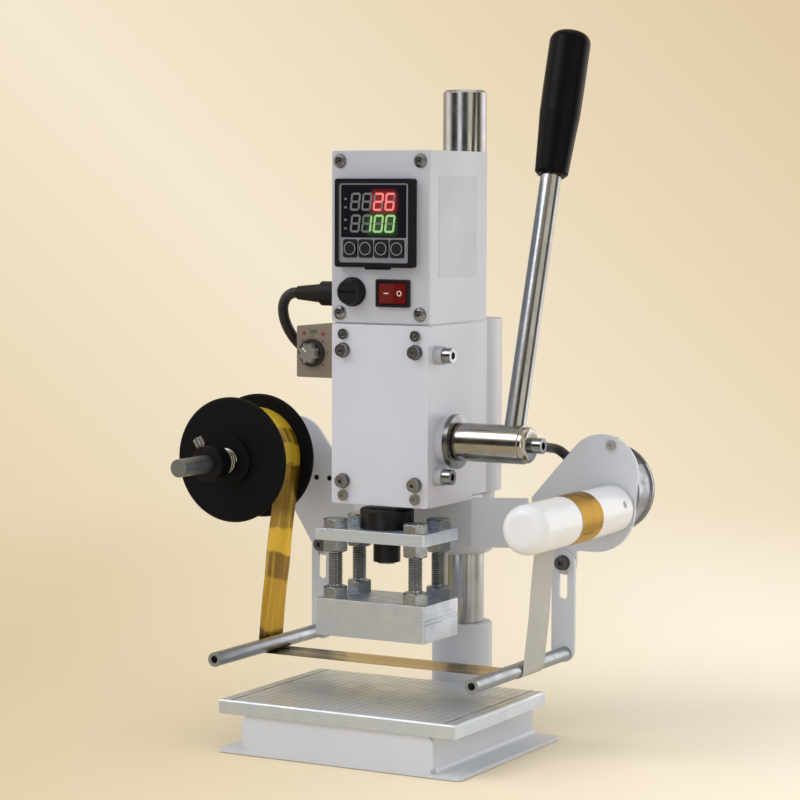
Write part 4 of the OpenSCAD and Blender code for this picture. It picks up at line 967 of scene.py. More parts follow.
@dataclass
class Cable:
    """A short round cable from one grommet of the machine to another.

    Attributes:
        name: Name of the piece.
        node: The solid that it stands for.
        diameter: Its diameter.
        route: Points that it passes through.
        steps: Steps of the curve between two points.
    """

    name: str
    node: str
    diameter: float
    route: tuple[tuple[float, float, float], ...]
    steps: int = 8

    def line(self) -> list[Vector]:
        """Draws a smooth centreline through the route, straight at both ends.

        Returns:
            Its points.
        """
        points = [metres(*point) for point in self.route]
        line = [points[0]]
        for a, b, c, d in zip(points, points[1:], points[2:], points[3:]):
            for k in range(self.steps):
                t = k / self.steps
                line.append(0.5 * (2 * b + (c - a) * t + (2 * a - 5 * b + 4 * c - d) * t ** 2
                                   + (3 * b - a - 3 * c + d) * t ** 3))
        return line + points[-2:]

    def build(self) -> None:
        line = self.line()
        data = bpy.data.curves.new(self.name, "CURVE")
        data.dimensions = "3D"
        data.bevel_depth = self.diameter / 2 * MM
        data.bevel_resolution = 5
        data.use_fill_caps = True
        spline = data.splines.new("POLY")
        spline.points.add(len(line) - 1)
        for point, place in zip(spline.points, line):
            point.co = (*place, 1.0)
        spline.use_smooth = True
        obj = fitted(placed(self.name, data), "head", CABLE_PVC)
        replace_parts(obj, self.node)


TIMER_CABLE = Cable("timer_lead", "timer_cable", 6.0, (
    (-58, 2, 250.5), (-61, 2, 250.5), (-66.5, 3.5, 248), (-70.5, 6, 242.5), (-72, 10, 235),
    (-71, 14.5, 227.5), (-68, 19, 221), (-64, 22.5, 217), (-59, 24, 216), (-56, 24, 216)))
MOTOR_CABLE = Cable("motor_lead", "motor_cable", 5.5, (
    (-22, 68, 243), (-22, 72, 243), (-25, 82, 240.5), (-30, 93, 232), (-32, 104, 217), (-28, 113, 200),
    (-18, 120, 184), (-4, 122.5, 171.5), (11, 121, 164.5), (25, 115, 161.8), (37, 107, 161.2),
    (47.5, 97.5, 161.5), (56.5, 88.5, 162), (63.5, 81.5, 162.4), (69.149, 77, 161.502),
    (73.245, 77, 158.634)))


@dataclass
class FoilWeb:
    """The gold film: wound on the reel, led under both guide rods, and wound on the roller.

    Attributes:
        width: Width of the film.
        middle: Middle of the film along Y.
        thick: Thickness of the film, drawn thicker than the real one so that it is a closed mesh.
        rod: A guide rod's distance from the mid plane and its height.
        rod_r: Radius of the film round a guide rod.
        reel: Reel axis in X and Z.
        roll_r: Radius of the wound roll.
        core_r: Radius of the reel's core.
        turns: Ridges on the sides of the roll.
        ridge: Height of a ridge.
        roller: Roller axis in X and Z.
        roller_r: Radius of the film on the roller.
        slack: Gap between a strip and the turns that it runs off or on.
        loose_end: Where the film's end lies on the roller, in degrees above +X.
        lip: How far that end stands proud.
        wall: Thickness of the turns on the roller.
        wrap: Angles at which the film meets the left rod and leaves the right one, in degrees.
        held: Distances from the mid plane at which the span is held by an arm and by the head.
        drifts: How far back the film lies at the reel, left rod, middle, right rod and roller.
        sways: How far each strip bows out of its line, from the reel to the roller.
    """

    width: float = 26.0
    middle: float = 9.0
    thick: float = 0.12
    rod: Pair = (79.5, 50.0)
    rod_r: float = 4.4
    reel: Pair = (-97.0, 155.5)
    roll_r: float = 28.0
    core_r: float = 12.7
    turns: int = 17
    ridge: float = 0.14
    roller: Pair = (107.0, 133.0)
    roller_r: float = 13.45
    slack: float = 0.4
    loose_end: float = -24.0
    lip: float = 0.16
    wall: float = 0.1
    wrap: Pair = (171.6, 353.0)
    held: Pair = (74.0, 42.0)
    drifts: tuple[float, ...] = (0.0, 5.0, 4.5, 4.0, 0.0)
    sways: tuple[float, ...] = (0.35, 0.0, 0.0, 0.25)

    def at(self, spot: Pair) -> Vector:
        """A place in X and Z on the film's middle line, in metres."""
        return Vector((spot[0], self.middle, spot[1])) * MM

    def run(self, start: Pair, start_r: float, end: Pair, end_r: float, side: int) -> list[Pair]:
        """Straight run of film that crosses over from one round piece to the other side of the next.

        Args:
            start: Axis of the first piece in X and Z.
            start_r: Radius of the film on it.
            end: Axis of the second piece.
            end_r: Radius of the film on it.
            side: 1 if the film leaves on the left of its way, -1 on the right.

        Returns:
            Both ends of the run.
        """
        dx, dz = end[0] - start[0], end[1] - start[1]
        way = math.atan2(dz, dx) - side * math.asin((start_r + end_r) / math.hypot(dx, dz))
        out = (-side * math.sin(way), side * math.cos(way))
        return [(start[0] + start_r * out[0], start[1] + start_r * out[1]),
                (end[0] - end_r * out[0], end[1] - end_r * out[1])]

    def arc(self, side: int, start: float, stop: float) -> list[Pair]:
        """Points of the film round a guide rod, between two angles in degrees."""
        turn = [math.radians(start + (stop - start) * k / 12) for k in range(13)]
        return [(side * self.rod[0] + self.rod_r * math.cos(a), self.rod[1] + self.rod_r * math.sin(a))
                for a in turn]

    def strip(self, name: str, line: Sequence[Pair], k: int, rows: int = 90) -> Piece:
        """Makes a strip of film along a line in X and Z, which drifts slowly at first, between the discs.

        Args:
            name: Name of the piece.
            line: The line.
            k: Number of the strip, from the reel.
            rows: Cross rows of the mesh.

        Returns:
            The strip, with its length in the property "length".
        """
        sway, (start, end) = self.sways[k], self.drifts[k:k + 2]
        points = [self.at(spot) for spot in line]
        runs = [(b - a).length for a, b in zip(points, points[1:])]
        whole = sum(runs)
        obj = begun(name, bpy.ops.mesh.primitive_grid_add, x_subdivisions=rows, y_subdivisions=10, size=1)
        for vertex in obj.data.vertices:
            along, across = (vertex.co.x + 0.5) * whole, vertex.co.y
            gone, i = 0.0, 0
            while i < len(runs) - 1 and gone + runs[i] < along:
                gone += runs[i]
                i += 1
            ahead = (points[i + 1] - points[i]).normalized()
            out = ahead.cross(Vector((0, 1, 0)))
            share = along / whole
            # A wave along the web and another one askew
            wave = math.sin(share * 13) + 0.6 * math.cos(across * 5 + share * 9)
            bow = sway * MM * math.sin(math.pi * share) ** 2 * wave
            back = across * self.width + start + (end - start) * share ** 2
            vertex.co = points[i] + ahead * (along - gone) + out * bow + Vector((0, back * MM, 0))
        modified(obj, "SOLIDIFY", thickness=self.thick * MM, offset=0.0)
        shaped(obj, every, bpy.ops.mesh.normals_make_consistent, inside=False)
        smoothed(obj, 50)
        obj["length"] = whole
        return obj

    def hung(self, obj: Piece, finish: Finish, bodies: tuple[str, str], start: Pair, end: Pair, node: str,
             rests: Sequence[str]) -> None:
        """Args:
            obj: The strip.
            finish: Its finish.
            bodies: The bodies at its two ends.
            start: Where it leaves the first body, in X and Z; not used.
            end: Where it reaches the second body; not used.
            node: The solid that it stands for.
            rests: What it runs over; not used.
        """
        covered(obj, finish)
        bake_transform(obj)
        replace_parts(obj, node)
        log.info("%s bends between %s and %s", obj.name, *bodies)

    def build(self) -> None:
        """Makes the strips, the wound roll and the band on the roller."""
        low = self.rod[1] - self.rod_r
        arm, head = self.held
        rod = (-self.rod[0], self.rod[1])
        feed = self.run(self.reel, self.roll_r + self.slack, rod, self.rod_r, 1)
        take = self.run(self.rod, self.rod_r, self.roller, self.roller_r + self.slack, -1)
        left = self.arc(-1, self.wrap[0], 270) + [(0, low)]
        right = [(0, low), (self.rod[0], low)]
        round_rod = self.arc(1, 270, self.wrap[1])
        strip = self.strip("foil_feed_web", feed, 0)
        self.hung(strip, GOLD_FILM, ("head", "left_guide"), *feed, "foil_feed_strip",
                  ("foil_roll", "left_rod"))
        strip = self.strip("foil_span_left", left, 1)
        self.hung(strip, GOLD_SPAN, ("left_guide", "head"), (-arm, low), (-head, low), "foil_span",
                  ("left_rod",))
        strip = self.strip("foil_span_right", right, 2)
        self.hung(strip, GOLD_SPAN, ("head", "right_guide"), (head, low), (arm, low), "foil_span",
                  ("right_rod",))
        strip = self.strip("foil_take_up_web", round_rod + take[1:], 3)
        self.hung(strip, GREY_FILM, ("right_guide", "head"), *take, "foil_take_up_strip",
                  ("right_rod", "take_up_roller"))
        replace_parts(fitted(self.wound_roll(), "reel", GOLD_ROLL), "foil_roll")
        fitted(self.band(), "take_up", GOLD_BAND)

    def wound_roll(self) -> Piece:
        """Makes the roll, its sides ridged by turns of film, open at the core.

        Returns:
            The roll.
        """
        roll = disc("foil_wound_roll", self.at(self.reel), self.roll_r, self.width, sides=96)
        step = (self.roll_r - self.core_r) / self.turns
        pierced(roll, *((step, self.ridge if k % 2 else -self.ridge) for k in range(self.turns)))
        smoothed(roll, 30)
        return roll

    def band(self) -> Piece:
        """Makes the turns wound on the roller, with the film's loose end standing a little proud.

        Returns:
            The band.
        """
        band = disc("foil_wound_band", self.at(self.roller), self.roller_r + self.thick, self.width, sides=96)
        pierced(band, (self.wall, 0.0))
        angle = math.radians(self.loose_end)
        lip = Vector((math.cos(angle), 0, math.sin(angle)))
        shaped(band, lambda face: face.normal.dot(lip) > 0.9985, bpy.ops.mesh.extrude_region_move,
               TRANSFORM_OT_translate={"value": tuple(lip * self.lip * MM)})
        smoothed(band, 30)
        return band


@dataclass
class DragSpring:
    """Round-wire spring between the lock collar and the reel.

    Attributes:
        wire: Diameter of the wire.
        radius: Radius of the coil's middle line.
        turns: Number of turns.
        steps: Steps of a turn.
    """

    wire: float = 1.4
    radius: float = 6.7
    turns: int = 4
    steps: int = 28

    def build(self) -> None:
        """Winds a wire section round the shaft."""
        low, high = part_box("drag_spring")
        middle = (low + high) / 2
        coil = begun("drag_spring_coil", bpy.ops.mesh.primitive_circle_add, vertices=12,
                     radius=self.wire / 2 * MM, fill_type="NOTHING")
        coil.data.transform(Matrix.Translation((self.radius * MM, 0, 0)))
        coil.location = (middle.x, low.y + self.wire / 2 * MM, middle.z)
        steps = self.steps * self.turns
        modified(coil, "SCREW", axis="Y", angle=2 * math.pi * self.turns, steps=steps, render_steps=steps,
                 screw_offset=high.y - low.y - self.wire * MM)
        settled(coil)
        bpy.ops.object.mode_set(mode="EDIT")
        bpy.ops.mesh.select_mode(type="EDGE")
        bpy.ops.mesh.select_all(action="DESELECT")
        bpy.ops.mesh.select_non_manifold()
        bpy.ops.mesh.fill_holes(sides=0)
        bpy.ops.object.mode_set(mode="OBJECT")
        mended(coil)
        smoothed(coil, 50)
        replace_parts(fitted(coil, "head", SPRING_STEEL), "drag_spring")


@dataclass
class StudThreads:
    """Rolled threads on the four studs that hang the heated block.

    Attributes:
        spread: Stud spacing in X and Y.
        low: Top of the lower nuts.
        high: Underside of the upper nuts.
        play: Gap between a thread and the nuts.
        pitch: Thread pitch.
        outline: Section of a thread: distance from the axis, and height.
        steps: Steps of a turn.
    """

    spread: Pair = (50.0, 26.5)
    low: float = 90.3
    high: float = 109.4
    play: float = 0.6
    pitch: float = 1.25
    outline: tuple[Pair, ...] = ((3.45, -0.55), (3.95, -0.08), (3.45, 0.55), (3.95, 0.08))
    steps: int = 24

    def build(self) -> None:
        """Winds one thread and copies it to the other studs."""
        thread = begun("stud_thread_1", bpy.ops.mesh.primitive_plane_add, size=1)
        for vertex, (r, z) in zip(thread.data.vertices, self.outline):
            vertex.co = Vector((r, 0, z)) * MM
        height = self.high - self.low - 2 * self.play
        turns = height / self.pitch
        steps = int(self.steps * turns)
        modified(thread, "SCREW", axis="Z", angle=2 * math.pi * turns, screw_offset=height * MM, steps=steps,
                 render_steps=steps)
        mended(thread)
        smoothed(thread, 25)
        first = Vector((-self.spread[0] / 2, -self.spread[1] / 2, self.low + self.play)) * MM
        thread.data.transform(Matrix.Translation(first))
        studs = [thread]
        for k, (x, y) in enumerate(((1, 0), (0, 1), (1, 1)), start=2):
            move = Matrix.Translation(metres(x * self.spread[0], y * self.spread[1], 0))
            studs.append(copied(thread, f"stud_thread_{k}", move))
        for stud in studs:
            fitted(stud, "press_ram", THREAD_STEEL)


@dataclass
class ControllerFace:
    """Digits, lamps and key marks on the temperature controller.

    Attributes:
        face: Front of the smoked window along Y.
        corner: Top left corner of the bezel in X and Z.
        digit: Width and height of a digit.
        stroke: Width of a segment.
        gap: How much shorter a segment is than its side of the digit.
        point: Length of a segment's pointed end.
        pitch: Distance between digits.
        slant: Lean of the digits in degrees.
        first: Middle of the first digit, from the corner.
        rows: Middle of each row of digits, down from the corner.
        texts: What each row shows.
        lamps: Middle of each small lamp, down from the corner.
        lamp_column: Middle of the lamps, from the corner.
        keys: The keys that carry a ring.
        ring: Radius of a key's ring, in widths of the key.
        ring_w: Width of the ring.
    """

    face: float = -13.7
    corner: Pair = (-25.2, 313.84)
    digit: Pair = (4.9, 8.6)
    stroke: float = 1.15
    gap: float = 0.25
    point: float = 0.42
    pitch: float = 7.15
    slant: float = 7.0
    first: float = 12.6
    rows: Pair = (12.5, 24.3)
    texts: tuple[str, str] = ("  26", " 100")
    lamps: tuple[float, ...] = (11.0, 15.6, 22.4, 27.0)
    lamp_column: float = 6.4
    keys: tuple[str, ...] = ("set", "shift", "down", "up")
    ring: float = 0.43
    ring_w: float = 0.4

    # Middle of each segment in widths and heights of a digit, and its turn in degrees
    SEGMENTS = {
        "a": (0, 0.5, 0), "g": (0, 0, 0), "d": (0, -0.5, 0),
        "f": (-0.5, 0.25, 90), "b": (0.5, 0.25, 90), "e": (-0.5, -0.25, 90), "c": (0.5, -0.25, 90),
    }
    # Segments that each sign lights
    LIT = {"2": "abged", "6": "acdefg", "1": "bc", "0": "abcdef", " ": ""}

    def bar(self) -> Piece:
        """Models one light bar with pointed ends, lying along X at the origin.

        Returns:
            The bar.
        """
        half = (min(self.digit[0], self.digit[1] / 2) - self.gap) / 2
        size = (half, 0.07, self.stroke / 2)
        bar = block("segment_pattern", [-length for length in size], size, 0.03, 1)
        for side in (-1, 1):
            shaped(bar, facing(side, 0, 0), bpy.ops.mesh.extrude_region_move,
                   TRANSFORM_OT_translate={"value": (side * self.point * MM, 0, 0)})
            shaped(bar, facing(side, 0, 0), bpy.ops.transform.resize, value=(1, 1, 0.25))
        return bar

    def segment(self, pattern: Piece, row: int, column: int, letter: str) -> Piece:
        """Copies the bar to one segment of one digit.

        Args:
            pattern: The bar.
            row: The digit's row.
            column: The digit's column.
            letter: The segment's letter.

        Returns:
            The segment.
        """
        x, z, turn = self.SEGMENTS[letter]
        width, height = self.digit
        shrink = min(height / 2 / width, 1.0) if turn else 1.0
        middle = metres(self.corner[0] + self.first + column * self.pitch, self.face - 0.06,
                        self.corner[1] - self.rows[row])
        lean = Matrix.Identity(4)
        lean[0][2] = math.tan(math.radians(self.slant))
        move = (Matrix.Translation(middle) @ lean @ Matrix.Translation(metres(x * width, 0, z * height))
                @ Matrix.Rotation(math.radians(turn), 4, "Y") @ Matrix.Diagonal((shrink, 1, 1, 1)))
        return copied(pattern, f"segment_{row}_{column}_{letter}", move)

    def build(self) -> None:
        """Sets the two rows of digits, the small lamps and the key marks."""
        pattern = self.bar()
        groups: dict[str, list[Piece]] = {"red": [], "green": [], "dim": []}
        for row, text in enumerate(self.texts):
            for column, sign in enumerate(text):
                for letter in self.SEGMENTS:
                    key = ("red", "green")[row] if letter in self.LIT[sign] else "dim"
                    groups[key].append(self.segment(pattern, row, column, letter))
        bpy.data.objects.remove(pattern)
        for key, finish in (("red", RED_LIGHT), ("green", GREEN_LIGHT), ("dim", DIM_SEGMENT)):
            fitted(joined(groups[key], f"digits_{key}"), "head", finish)
        lamps = [self.lamp(k) for k in range(len(self.lamps))]
        fitted(joined(lamps, "controller_lamps"), "head", DIM_SEGMENT)
        for key in self.keys:
            self.key_mark(key)

    def lamp(self, k: int) -> Piece:
        """Makes one small unlit lamp at the left of the digits.

        Args:
            k: Number of the lamp, from the top.

        Returns:
            The lamp.
        """
        x = self.corner[0] + self.lamp_column
        z = self.corner[1] - self.lamps[k]
        return block(f"lamp_{k}", (x - 0.9, self.face - 0.12, z - 0.5),
                     (x + 0.9, self.face + 0.05, z + 0.5), 0.1)

    def key_mark(self, key: str) -> None:
        """Moulds a ring on one key, where the hand feels for it.

        Args:
            key: Name of the key.
        """
        low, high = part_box(f"{key}_button")
        middle = (low + high) / 2
        radius = self.ring * (high.x - low.x) / MM
        ring = disc(f"{key}_key_ring", Vector((middle.x, low.y, middle.z)), radius, 0.16)
        pierced(ring, (self.ring_w, 0.0))
        smoothed(ring)
        fitted(ring, f"{key}_key", MARK_GREY)


@dataclass
class SwitchMarks:
    """On and off marks printed on the two faces of the rocker.

    Attributes:
        stand: How far a mark stands off its face.
        bar: Half the length, depth and width of the bar.
        ring_r: Radius of the ring.
        ring_w: Width of the ring.
    """

    stand: float = 0.05
    bar: tuple[float, float, float] = (1.3, 0.06, 0.3)
    ring_r: float = 1.5
    ring_w: float = 0.5

    def spot(self, side: int) -> tuple[Vector, Vector]:
        """Finds one face of the rocker.

        Args:
            side: -1 for the left face, 1 for the right one.

        Returns:
            Its middle and its direction.
        """
        low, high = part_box("switch_rocker")
        middle = (low.x + high.x) / 2
        faces = [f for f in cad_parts["switch_rocker"].data.polygons
                 if f.normal.y < -0.9 and (f.center.x - middle) * side > 0]
        area = sum(f.area for f in faces)
        centre = sum((f.center * f.area for f in faces), Vector()) / area
        normal = sum((f.normal * f.area for f in faces), Vector()).normalized()
        return centre, normal

    def lay(self, obj: Piece, side: int) -> None:
        """Lays a mark, made facing -Y at the origin, on one face.

        Args:
            obj: The mark.
            side: -1 for the left face, 1 for the right one.
        """
        centre, normal = self.spot(side)
        turn = Vector((0, -1, 0)).rotation_difference(normal).to_matrix().to_4x4()
        obj.data.transform(Matrix.Translation(centre + normal * self.stand * MM) @ turn)
        fitted(obj, "power_switch", MARK_WHITE)

    def build(self) -> None:
        """Makes the bar and the ring."""
        bar = block("rocker_on_mark", [-half for half in self.bar], self.bar, 0.05, 1)
        stepped(bar, facing(0, -1, 0), (0.08, 0.02))
        self.lay(bar, -1)
        ring = disc("rocker_off_mark", Vector(), self.ring_r, 2 * self.bar[1])
        pierced(ring, (self.ring_w, 0.0))
        smoothed(ring)
        self.lay(ring, 1)


@dataclass
class TimerFace:
    """Lamps, window and dial scale on the front of the timer.

    Attributes:
        face: Front of the timer along Y.
        lamps: Places of the two lamps in X and Z.
        lamp_r: Radius of a lamp.
        patch: Middle of the smoked patch in X and Z.
        patch_size: Its width and height.
        numbers: How many numbers stand round the dial.
        scale_r: Radius of the scale.
        text: Height of the numbers.
        start: Angle of the first number above +X, in degrees.
        sweep: Angle from the first number to the last.
        pointer: Turn of the pointer from upright, in degrees.
    """

    face: float = -9.0
    lamps: tuple[Pair, ...] = ((-47.8, 228.9), (-35.6, 228.7))
    lamp_r: float = 0.95
    patch: Pair = (-42.0, 229.7)
    patch_size: Pair = (4.8, 2.4)
    numbers: int = 7
    scale_r: float = 9.1
    text: float = 2.1
    start: float = 225.0
    sweep: float = 270.0
    pointer: float = -45.0

    def build(self) -> None:
        """Makes the lamps, the patch, the scale and the pointer."""
        for k, (x, z) in enumerate(self.lamps, start=1):
            lamp = disc(f"timer_lamp_{k}", metres(x, self.face, z), self.lamp_r, 0.8, sides=24)
            stepped(lamp, facing(0, -1, 0), (0.35, 0.25), (0.3, 0.1))
            smoothed(lamp, 60)
            fitted(lamp, "head", LAMP_RED)
        (x, z), (w, h) = self.patch, self.patch_size
        patch = block("timer_window", (x - w / 2, self.face - 0.12, z - h / 2),
                      (x + w / 2, self.face + 0.2, z + h / 2), 0.1)
        stepped(patch, facing(0, -1, 0), (0.2, -0.05))
        fitted(patch, "head", PATCH_GREEN)
        self.scale()

    def scale(self) -> None:
        """Sets plain numbers round the dial, and a pointer on it."""
        low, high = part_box("timer_dial")
        middle = (low + high) / 2
        signs = []
        for k in range(self.numbers):
            angle = math.radians(self.start - self.sweep * k / (self.numbers - 1))
            place = (middle.x + self.scale_r * MM * math.cos(angle), (self.face - 0.02) * MM,
                     middle.z + self.scale_r * MM * math.sin(angle))
            sign = begun(f"timer_number_{k}", bpy.ops.object.text_add, location=place,
                         rotation=(math.pi / 2, 0, 0))
            sign.data.body = str(k)
            sign.data.size = self.text * MM
            sign.data.extrude = 0.03 * MM
            sign.data.align_x = "CENTER"
            sign.data.align_y = "CENTER"
            alone(sign)
            bpy.ops.object.convert(target="MESH")
            settled(sign)
            signs.append(sign)
        fitted(joined(signs, "timer_numbers"), "head", BLACK_ABS)
        pointer = block("timer_pointer", (-0.35, -0.08, 1.0), (0.35, 0.08, 4.2), 0.05, 1)
        shaped(pointer, facing(0, 0, 1), bpy.ops.transform.resize, value=(0.4, 1, 1))
        turn = Matrix.Rotation(math.radians(self.pointer), 4, "Y")
        pointer.data.transform(Matrix.Translation((middle.x, low.y, middle.z)) @ turn)
        fitted(pointer, "timer_knob", MARK_WHITE)


@dataclass
class EarScrews:
    """Small black screws that close the two spare holes of the left ear.

    Attributes:
        holes: Places of the holes in X and Z.
        front: Front of the ear along Y.
        proud: How far a screw stands out of the ear.
        shank_r: Radius of a screw.
        depth: Length of a screw.
        socket: Steps of the rim, the flat and the socket.
    """

    holes: tuple[Pair, ...] = ((-83.0, 139.7), (-74.3, 139.7))
    front: float = 64.0
    proud: float = 0.2
    shank_r: float = 1.5
    depth: float = 2.4
    socket: tuple[Pair, ...] = ((0.25, 0.15), (0.45, 0.0), (0.08, -0.9))

    def build(self) -> None:
        """Models one screw with its socket and copies it."""
        x, z = self.holes[0]
        centre = metres(x, self.front + self.depth / 2 - self.proud, z)
        screw = disc("ear_screw_1", centre, self.shank_r, self.depth, sides=24)
        stepped(screw, facing(0, -1, 0), *self.socket)
        smoothed(screw)
        second = copied(screw, "ear_screw_2", Matrix.Translation(metres(self.holes[1][0] - x, 0, 0)))
        for obj in (screw, second):
            fitted(obj, "head", DARK_STEEL)


@dataclass
class BlankLabel:
    """A blank plate on the side of the control box, where a rating plate would be.

    Attributes:
        side: Side of the box along X.
        low: Lowest corner in Y and Z.
        high: Highest corner in Y and Z.
        border: Width of the raised border, and height of the plate inside it.
    """

    side: float = 30.0
    low: Pair = (3.0, 260.3)
    high: Pair = (47.0, 315.5)
    border: Pair = (1.0, -0.06)

    def build(self) -> None:
        """Makes the plate with its raised border."""
        plate = block("blank_rating_plate", (self.side - 0.05, *self.low), (self.side + 0.18, *self.high),
                      0.08, 1)
        stepped(plate, facing(1, 0, 0), self.border)
        fitted(plate, "head", BLANK_VINYL)


@dataclass
class Studio:
    """Floor, backdrop, soft lights and the camera of the photograph.

    Attributes:
        azimuth: Camera's angle from the front, towards +X, in degrees.
        pitch: How far it looks down, in degrees.
        roll: How far it is turned, in degrees.
        place: Camera's place in millimetres.
        focal: Focal length in pixels of the image.
        image: Width of the image in pixels.
        backdrop: Colours of the backdrop's bright band and of the rest.
        floor: Colours of the floor at the left and at the right.
        band: Shift of the bright band from the horizon, and how far it fades.
        across: The camera's right, along which the backdrop and the floor change.
        aim: What the lamps look at, in metres.
        flag_aim: What the flags look at, in metres.
        boxes: Each soft light's name, place and size in metres, watts and colour.
        flags: Each dark card's name, place and size in metres.
    """

    azimuth: float = 28.83
    pitch: float = 4.52
    roll: float = 0.19
    place: tuple[float, float, float] = (690.6, -1240.3, 305.2)
    focal: float = 2597.1
    image: float = 800.0
    backdrop: tuple[str, str] = ("#f4e8cf", "#e2cda8")
    floor: tuple[str, str] = ("#ddc79c", "#fff1d6")
    band: Pair = (0.075, 0.28)
    across: Pair = (0.876, 0.482)
    aim: tuple[float, float, float] = (0, 0.03, 0.17)
    flag_aim: tuple[float, float, float] = (0, 0.05, 0.2)
    boxes: tuple[tuple, ...] = (
        ("key_box", (-0.8, -1.15, 1.55), (1.3, 0.9), 14.0, "#f5f8ff"),
        ("front_box", (0.6, -2.3, 0.25), (2.2, 1.2), 11.0, "#f5f8ff"),
        ("side_box", (1.9, -0.4, 0.55), (2.2, 2.0), 8.4, "#fff6e8"),
        ("left_box", (-1.55, -0.4, 0.5), (0.9, 1.2), 3.5, "#f5f8ff"),
        ("top_box", (0.1, 0.4, 1.9), (1.4, 1.2), 4.0, "#f5f8ff"),
        ("back_box", (1.0, 1.8, 0.5), (1.5, 1.5), 11.0, "#f5f8ff"),
    )
    flags: tuple[tuple, ...] = (
        ("front_flag", (-0.78, -1.4, 0.45), (1.1, 0.9)),
        ("camera_flag", (1.0, -1.96, 0.5), (1.3, 2.0)),
        ("right_flag", (1.9, 0.6, 0.6), (0.7, 1.8)),
    )

    def camera(self) -> None:
        """Sets the camera at the photograph's view."""
        data = bpy.data.cameras.new("camera")
        data.sensor_width = 36
        data.lens = self.focal / self.image * data.sensor_width
        data.clip_end = 100
        obj = placed("camera", data)
        a, p, r = (math.radians(v) for v in (self.azimuth, self.pitch, self.roll))
        back = Vector((math.sin(a) * math.cos(p), -math.cos(a) * math.cos(p), math.sin(p)))
        right = Vector((math.cos(a), math.sin(a), 0))
        up = back.cross(right)
        across = right * math.cos(r) + up * math.sin(r)
        above = up * math.cos(r) - right * math.sin(r)
        turn = Matrix((across, above, back)).transposed().to_4x4()
        obj.matrix_world = Matrix.Translation(Vector(self.place) * MM) @ turn
        bpy.context.scene.camera = obj

    def lamp(self, name: str, place: Sequence[float], size: Pair, power: float, tint: str) -> None:
        """Hangs a soft box that looks at the machine.

        Args:
            name: Name of the lamp.
            place: Where it hangs.
            size: Width and height.
            power: Watts.
            tint: Colour of its light.
        """
        data = bpy.data.lights.new(name, "AREA")
        data.shape = "RECTANGLE"
        data.size, data.size_y = size
        data.energy = power
        data.color = linear(tint)[:3]
        obj = placed(name, data)
        obj.location = place
        obj.rotation_euler = (Vector(self.aim) - Vector(place)).to_track_quat("-Z", "Y").to_euler()

    def world(self) -> None:
        """Sets a pale backdrop with a diagonal band of light, seen and mirrored, and an even fill light."""
        world = bpy.data.worlds.new("studio")
        bpy.context.scene.world = world
        tree = emptied(world)
        rays = add(tree, "LightPath").node.outputs
        seen = rays["Is Camera Ray"]
        for kind in ("Is Glossy Ray", "Is Transmission Ray"):
            seen = add(tree, "Math", {0: seen, 1: rays[kind]}, operation="MAXIMUM")
        fill = add(tree, "Background", {"Color": "#eaf0fc", "Strength": 0.74})
        way = add(tree, "TexCoord", out="Generated")
        slope = add(tree, "VectorMath", {0: way, 1: (*self.across, 1.0)}, "Value", operation="DOT_PRODUCT")
        off = add(tree, "Math", {0: slope, 1: self.band[0]}, operation="ADD")
        off = add(tree, "Math", {0: off}, operation="ABSOLUTE")
        dusk = add(tree, "MapRange", {"Value": off, "From Max": self.band[1]})
        tone = add(tree, "Mix", {0: dusk, 6: self.backdrop[0], 7: self.backdrop[1]}, 2, data_type="RGBA")
        view = add(tree, "Background", {"Color": tone, "Strength": 1.0})
        mix = add(tree, "MixShader", {0: seen, 1: fill, 2: view})
        add(tree, "OutputWorld", {"Surface": mix})

    def ground(self) -> None:
        """Lays a pale floor that keeps the shadow and clears into the backdrop."""
        floor = begun("studio_floor", bpy.ops.mesh.primitive_circle_add, vertices=64, radius=9,
                      fill_type="NGON")
        # Just clear of the feet, which would flicker in one plane with it
        floor.location.z = -0.0004
        material = bpy.data.materials.new("matt_floor_paper")
        tree = emptied(material)
        place = add(tree, "TexCoord", out="Object")
        away = add(tree, "VectorMath", {0: place}, "Value", operation="LENGTH")
        fade = add(tree, "MapRange", {"Value": away, "From Min": 0.3, "From Max": 1.3},
                   interpolation_type="SMOOTHSTEP")
        side = add(tree, "VectorMath", {0: place, 1: (*self.across, 0)}, "Value", operation="DOT_PRODUCT")
        side = add(tree, "MapRange", {"Value": side, "From Min": -0.25, "From Max": 0.25})
        tone = add(tree, "Mix", {0: side, 6: self.floor[0], 7: self.floor[1]}, 2, data_type="RGBA")
        paper = add(tree, "BsdfDiffuse", {"Color": tone, "Roughness": 0.6})
        far = add(tree, "BsdfTransparent")
        mix = add(tree, "MixShader", {0: fade, 1: paper, 2: far})
        add(tree, "OutputMaterial", {"Surface": mix})
        floor.data.materials.append(material)

    def flag(self, name: str, place: Sequence[float], size: Pair) -> None:
        """Stands a dark card out of view, which gives bright metal its dark stripes.

        Args:
            name: Name of the card.
            place: Where it stands.
            size: Width and height.
        """
        card = begun(name, bpy.ops.mesh.primitive_plane_add, size=1)
        card.location = place
        card.scale = (*size, 1)
        card.rotation_euler = (Vector(self.flag_aim) - Vector(place)).to_track_quat("Z", "Y").to_euler()
        material = bpy.data.materials.get("black_flag_cloth") or bpy.data.materials.new("black_flag_cloth")
        tree = emptied(material)
        cloth = add(tree, "BsdfDiffuse", {"Color": "#2b2724"})
        add(tree, "OutputMaterial", {"Surface": cloth})
        card.data.materials.append(material)
        card.visible_camera = False
        card.visible_diffuse = False
        card.visible_shadow = False

    def build(self) -> None:
        """Sets up the whole studio."""
        bpy.context.scene.view_settings.view_transform = "Standard"
        self.camera()
        self.world()
        self.ground()
        for box in self.boxes:
            self.lamp(*box)
        for card in self.flags:
            self.flag(*card)


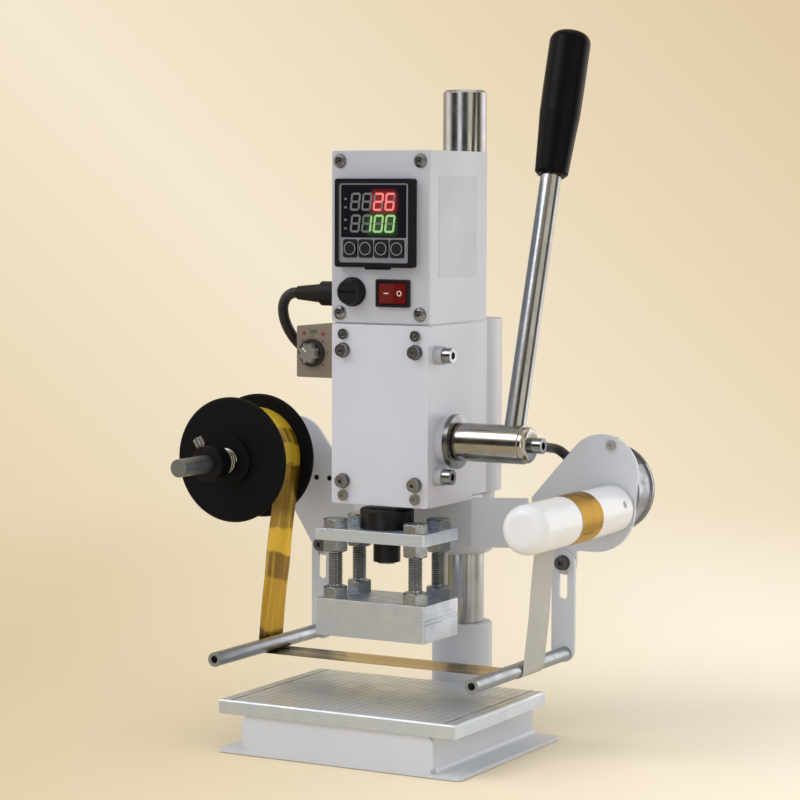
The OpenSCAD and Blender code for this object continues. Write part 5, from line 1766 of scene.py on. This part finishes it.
def dress_solids() -> None:
    """Gives every solid of the frame its finish."""
    for finish, nodes in NODE_FINISHES.items():
        for node in nodes:
            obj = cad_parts[node]
            material = finish.make()
            if not obj.material_slots:
                obj.data.materials.append(material)
            for slot in obj.material_slots:
                slot.material = material
            log.info("%s in %s", node, finish.name)


def main() -> None:
    """Builds the studio, then each sub-assembly in order."""
    logging.basicConfig(level=logging.INFO, format="%(name)s: %(message)s")
    Studio().build()
    TIMER_CABLE.build()
    MOTOR_CABLE.build()
    dress_solids()
    for assembly in (FoilWeb(), DragSpring(), StudThreads(), ControllerFace(), SwitchMarks(), TimerFace(),
                     EarScrews(), BlankLabel()):
        assembly.build()


if __name__ == "__main__":
    main()
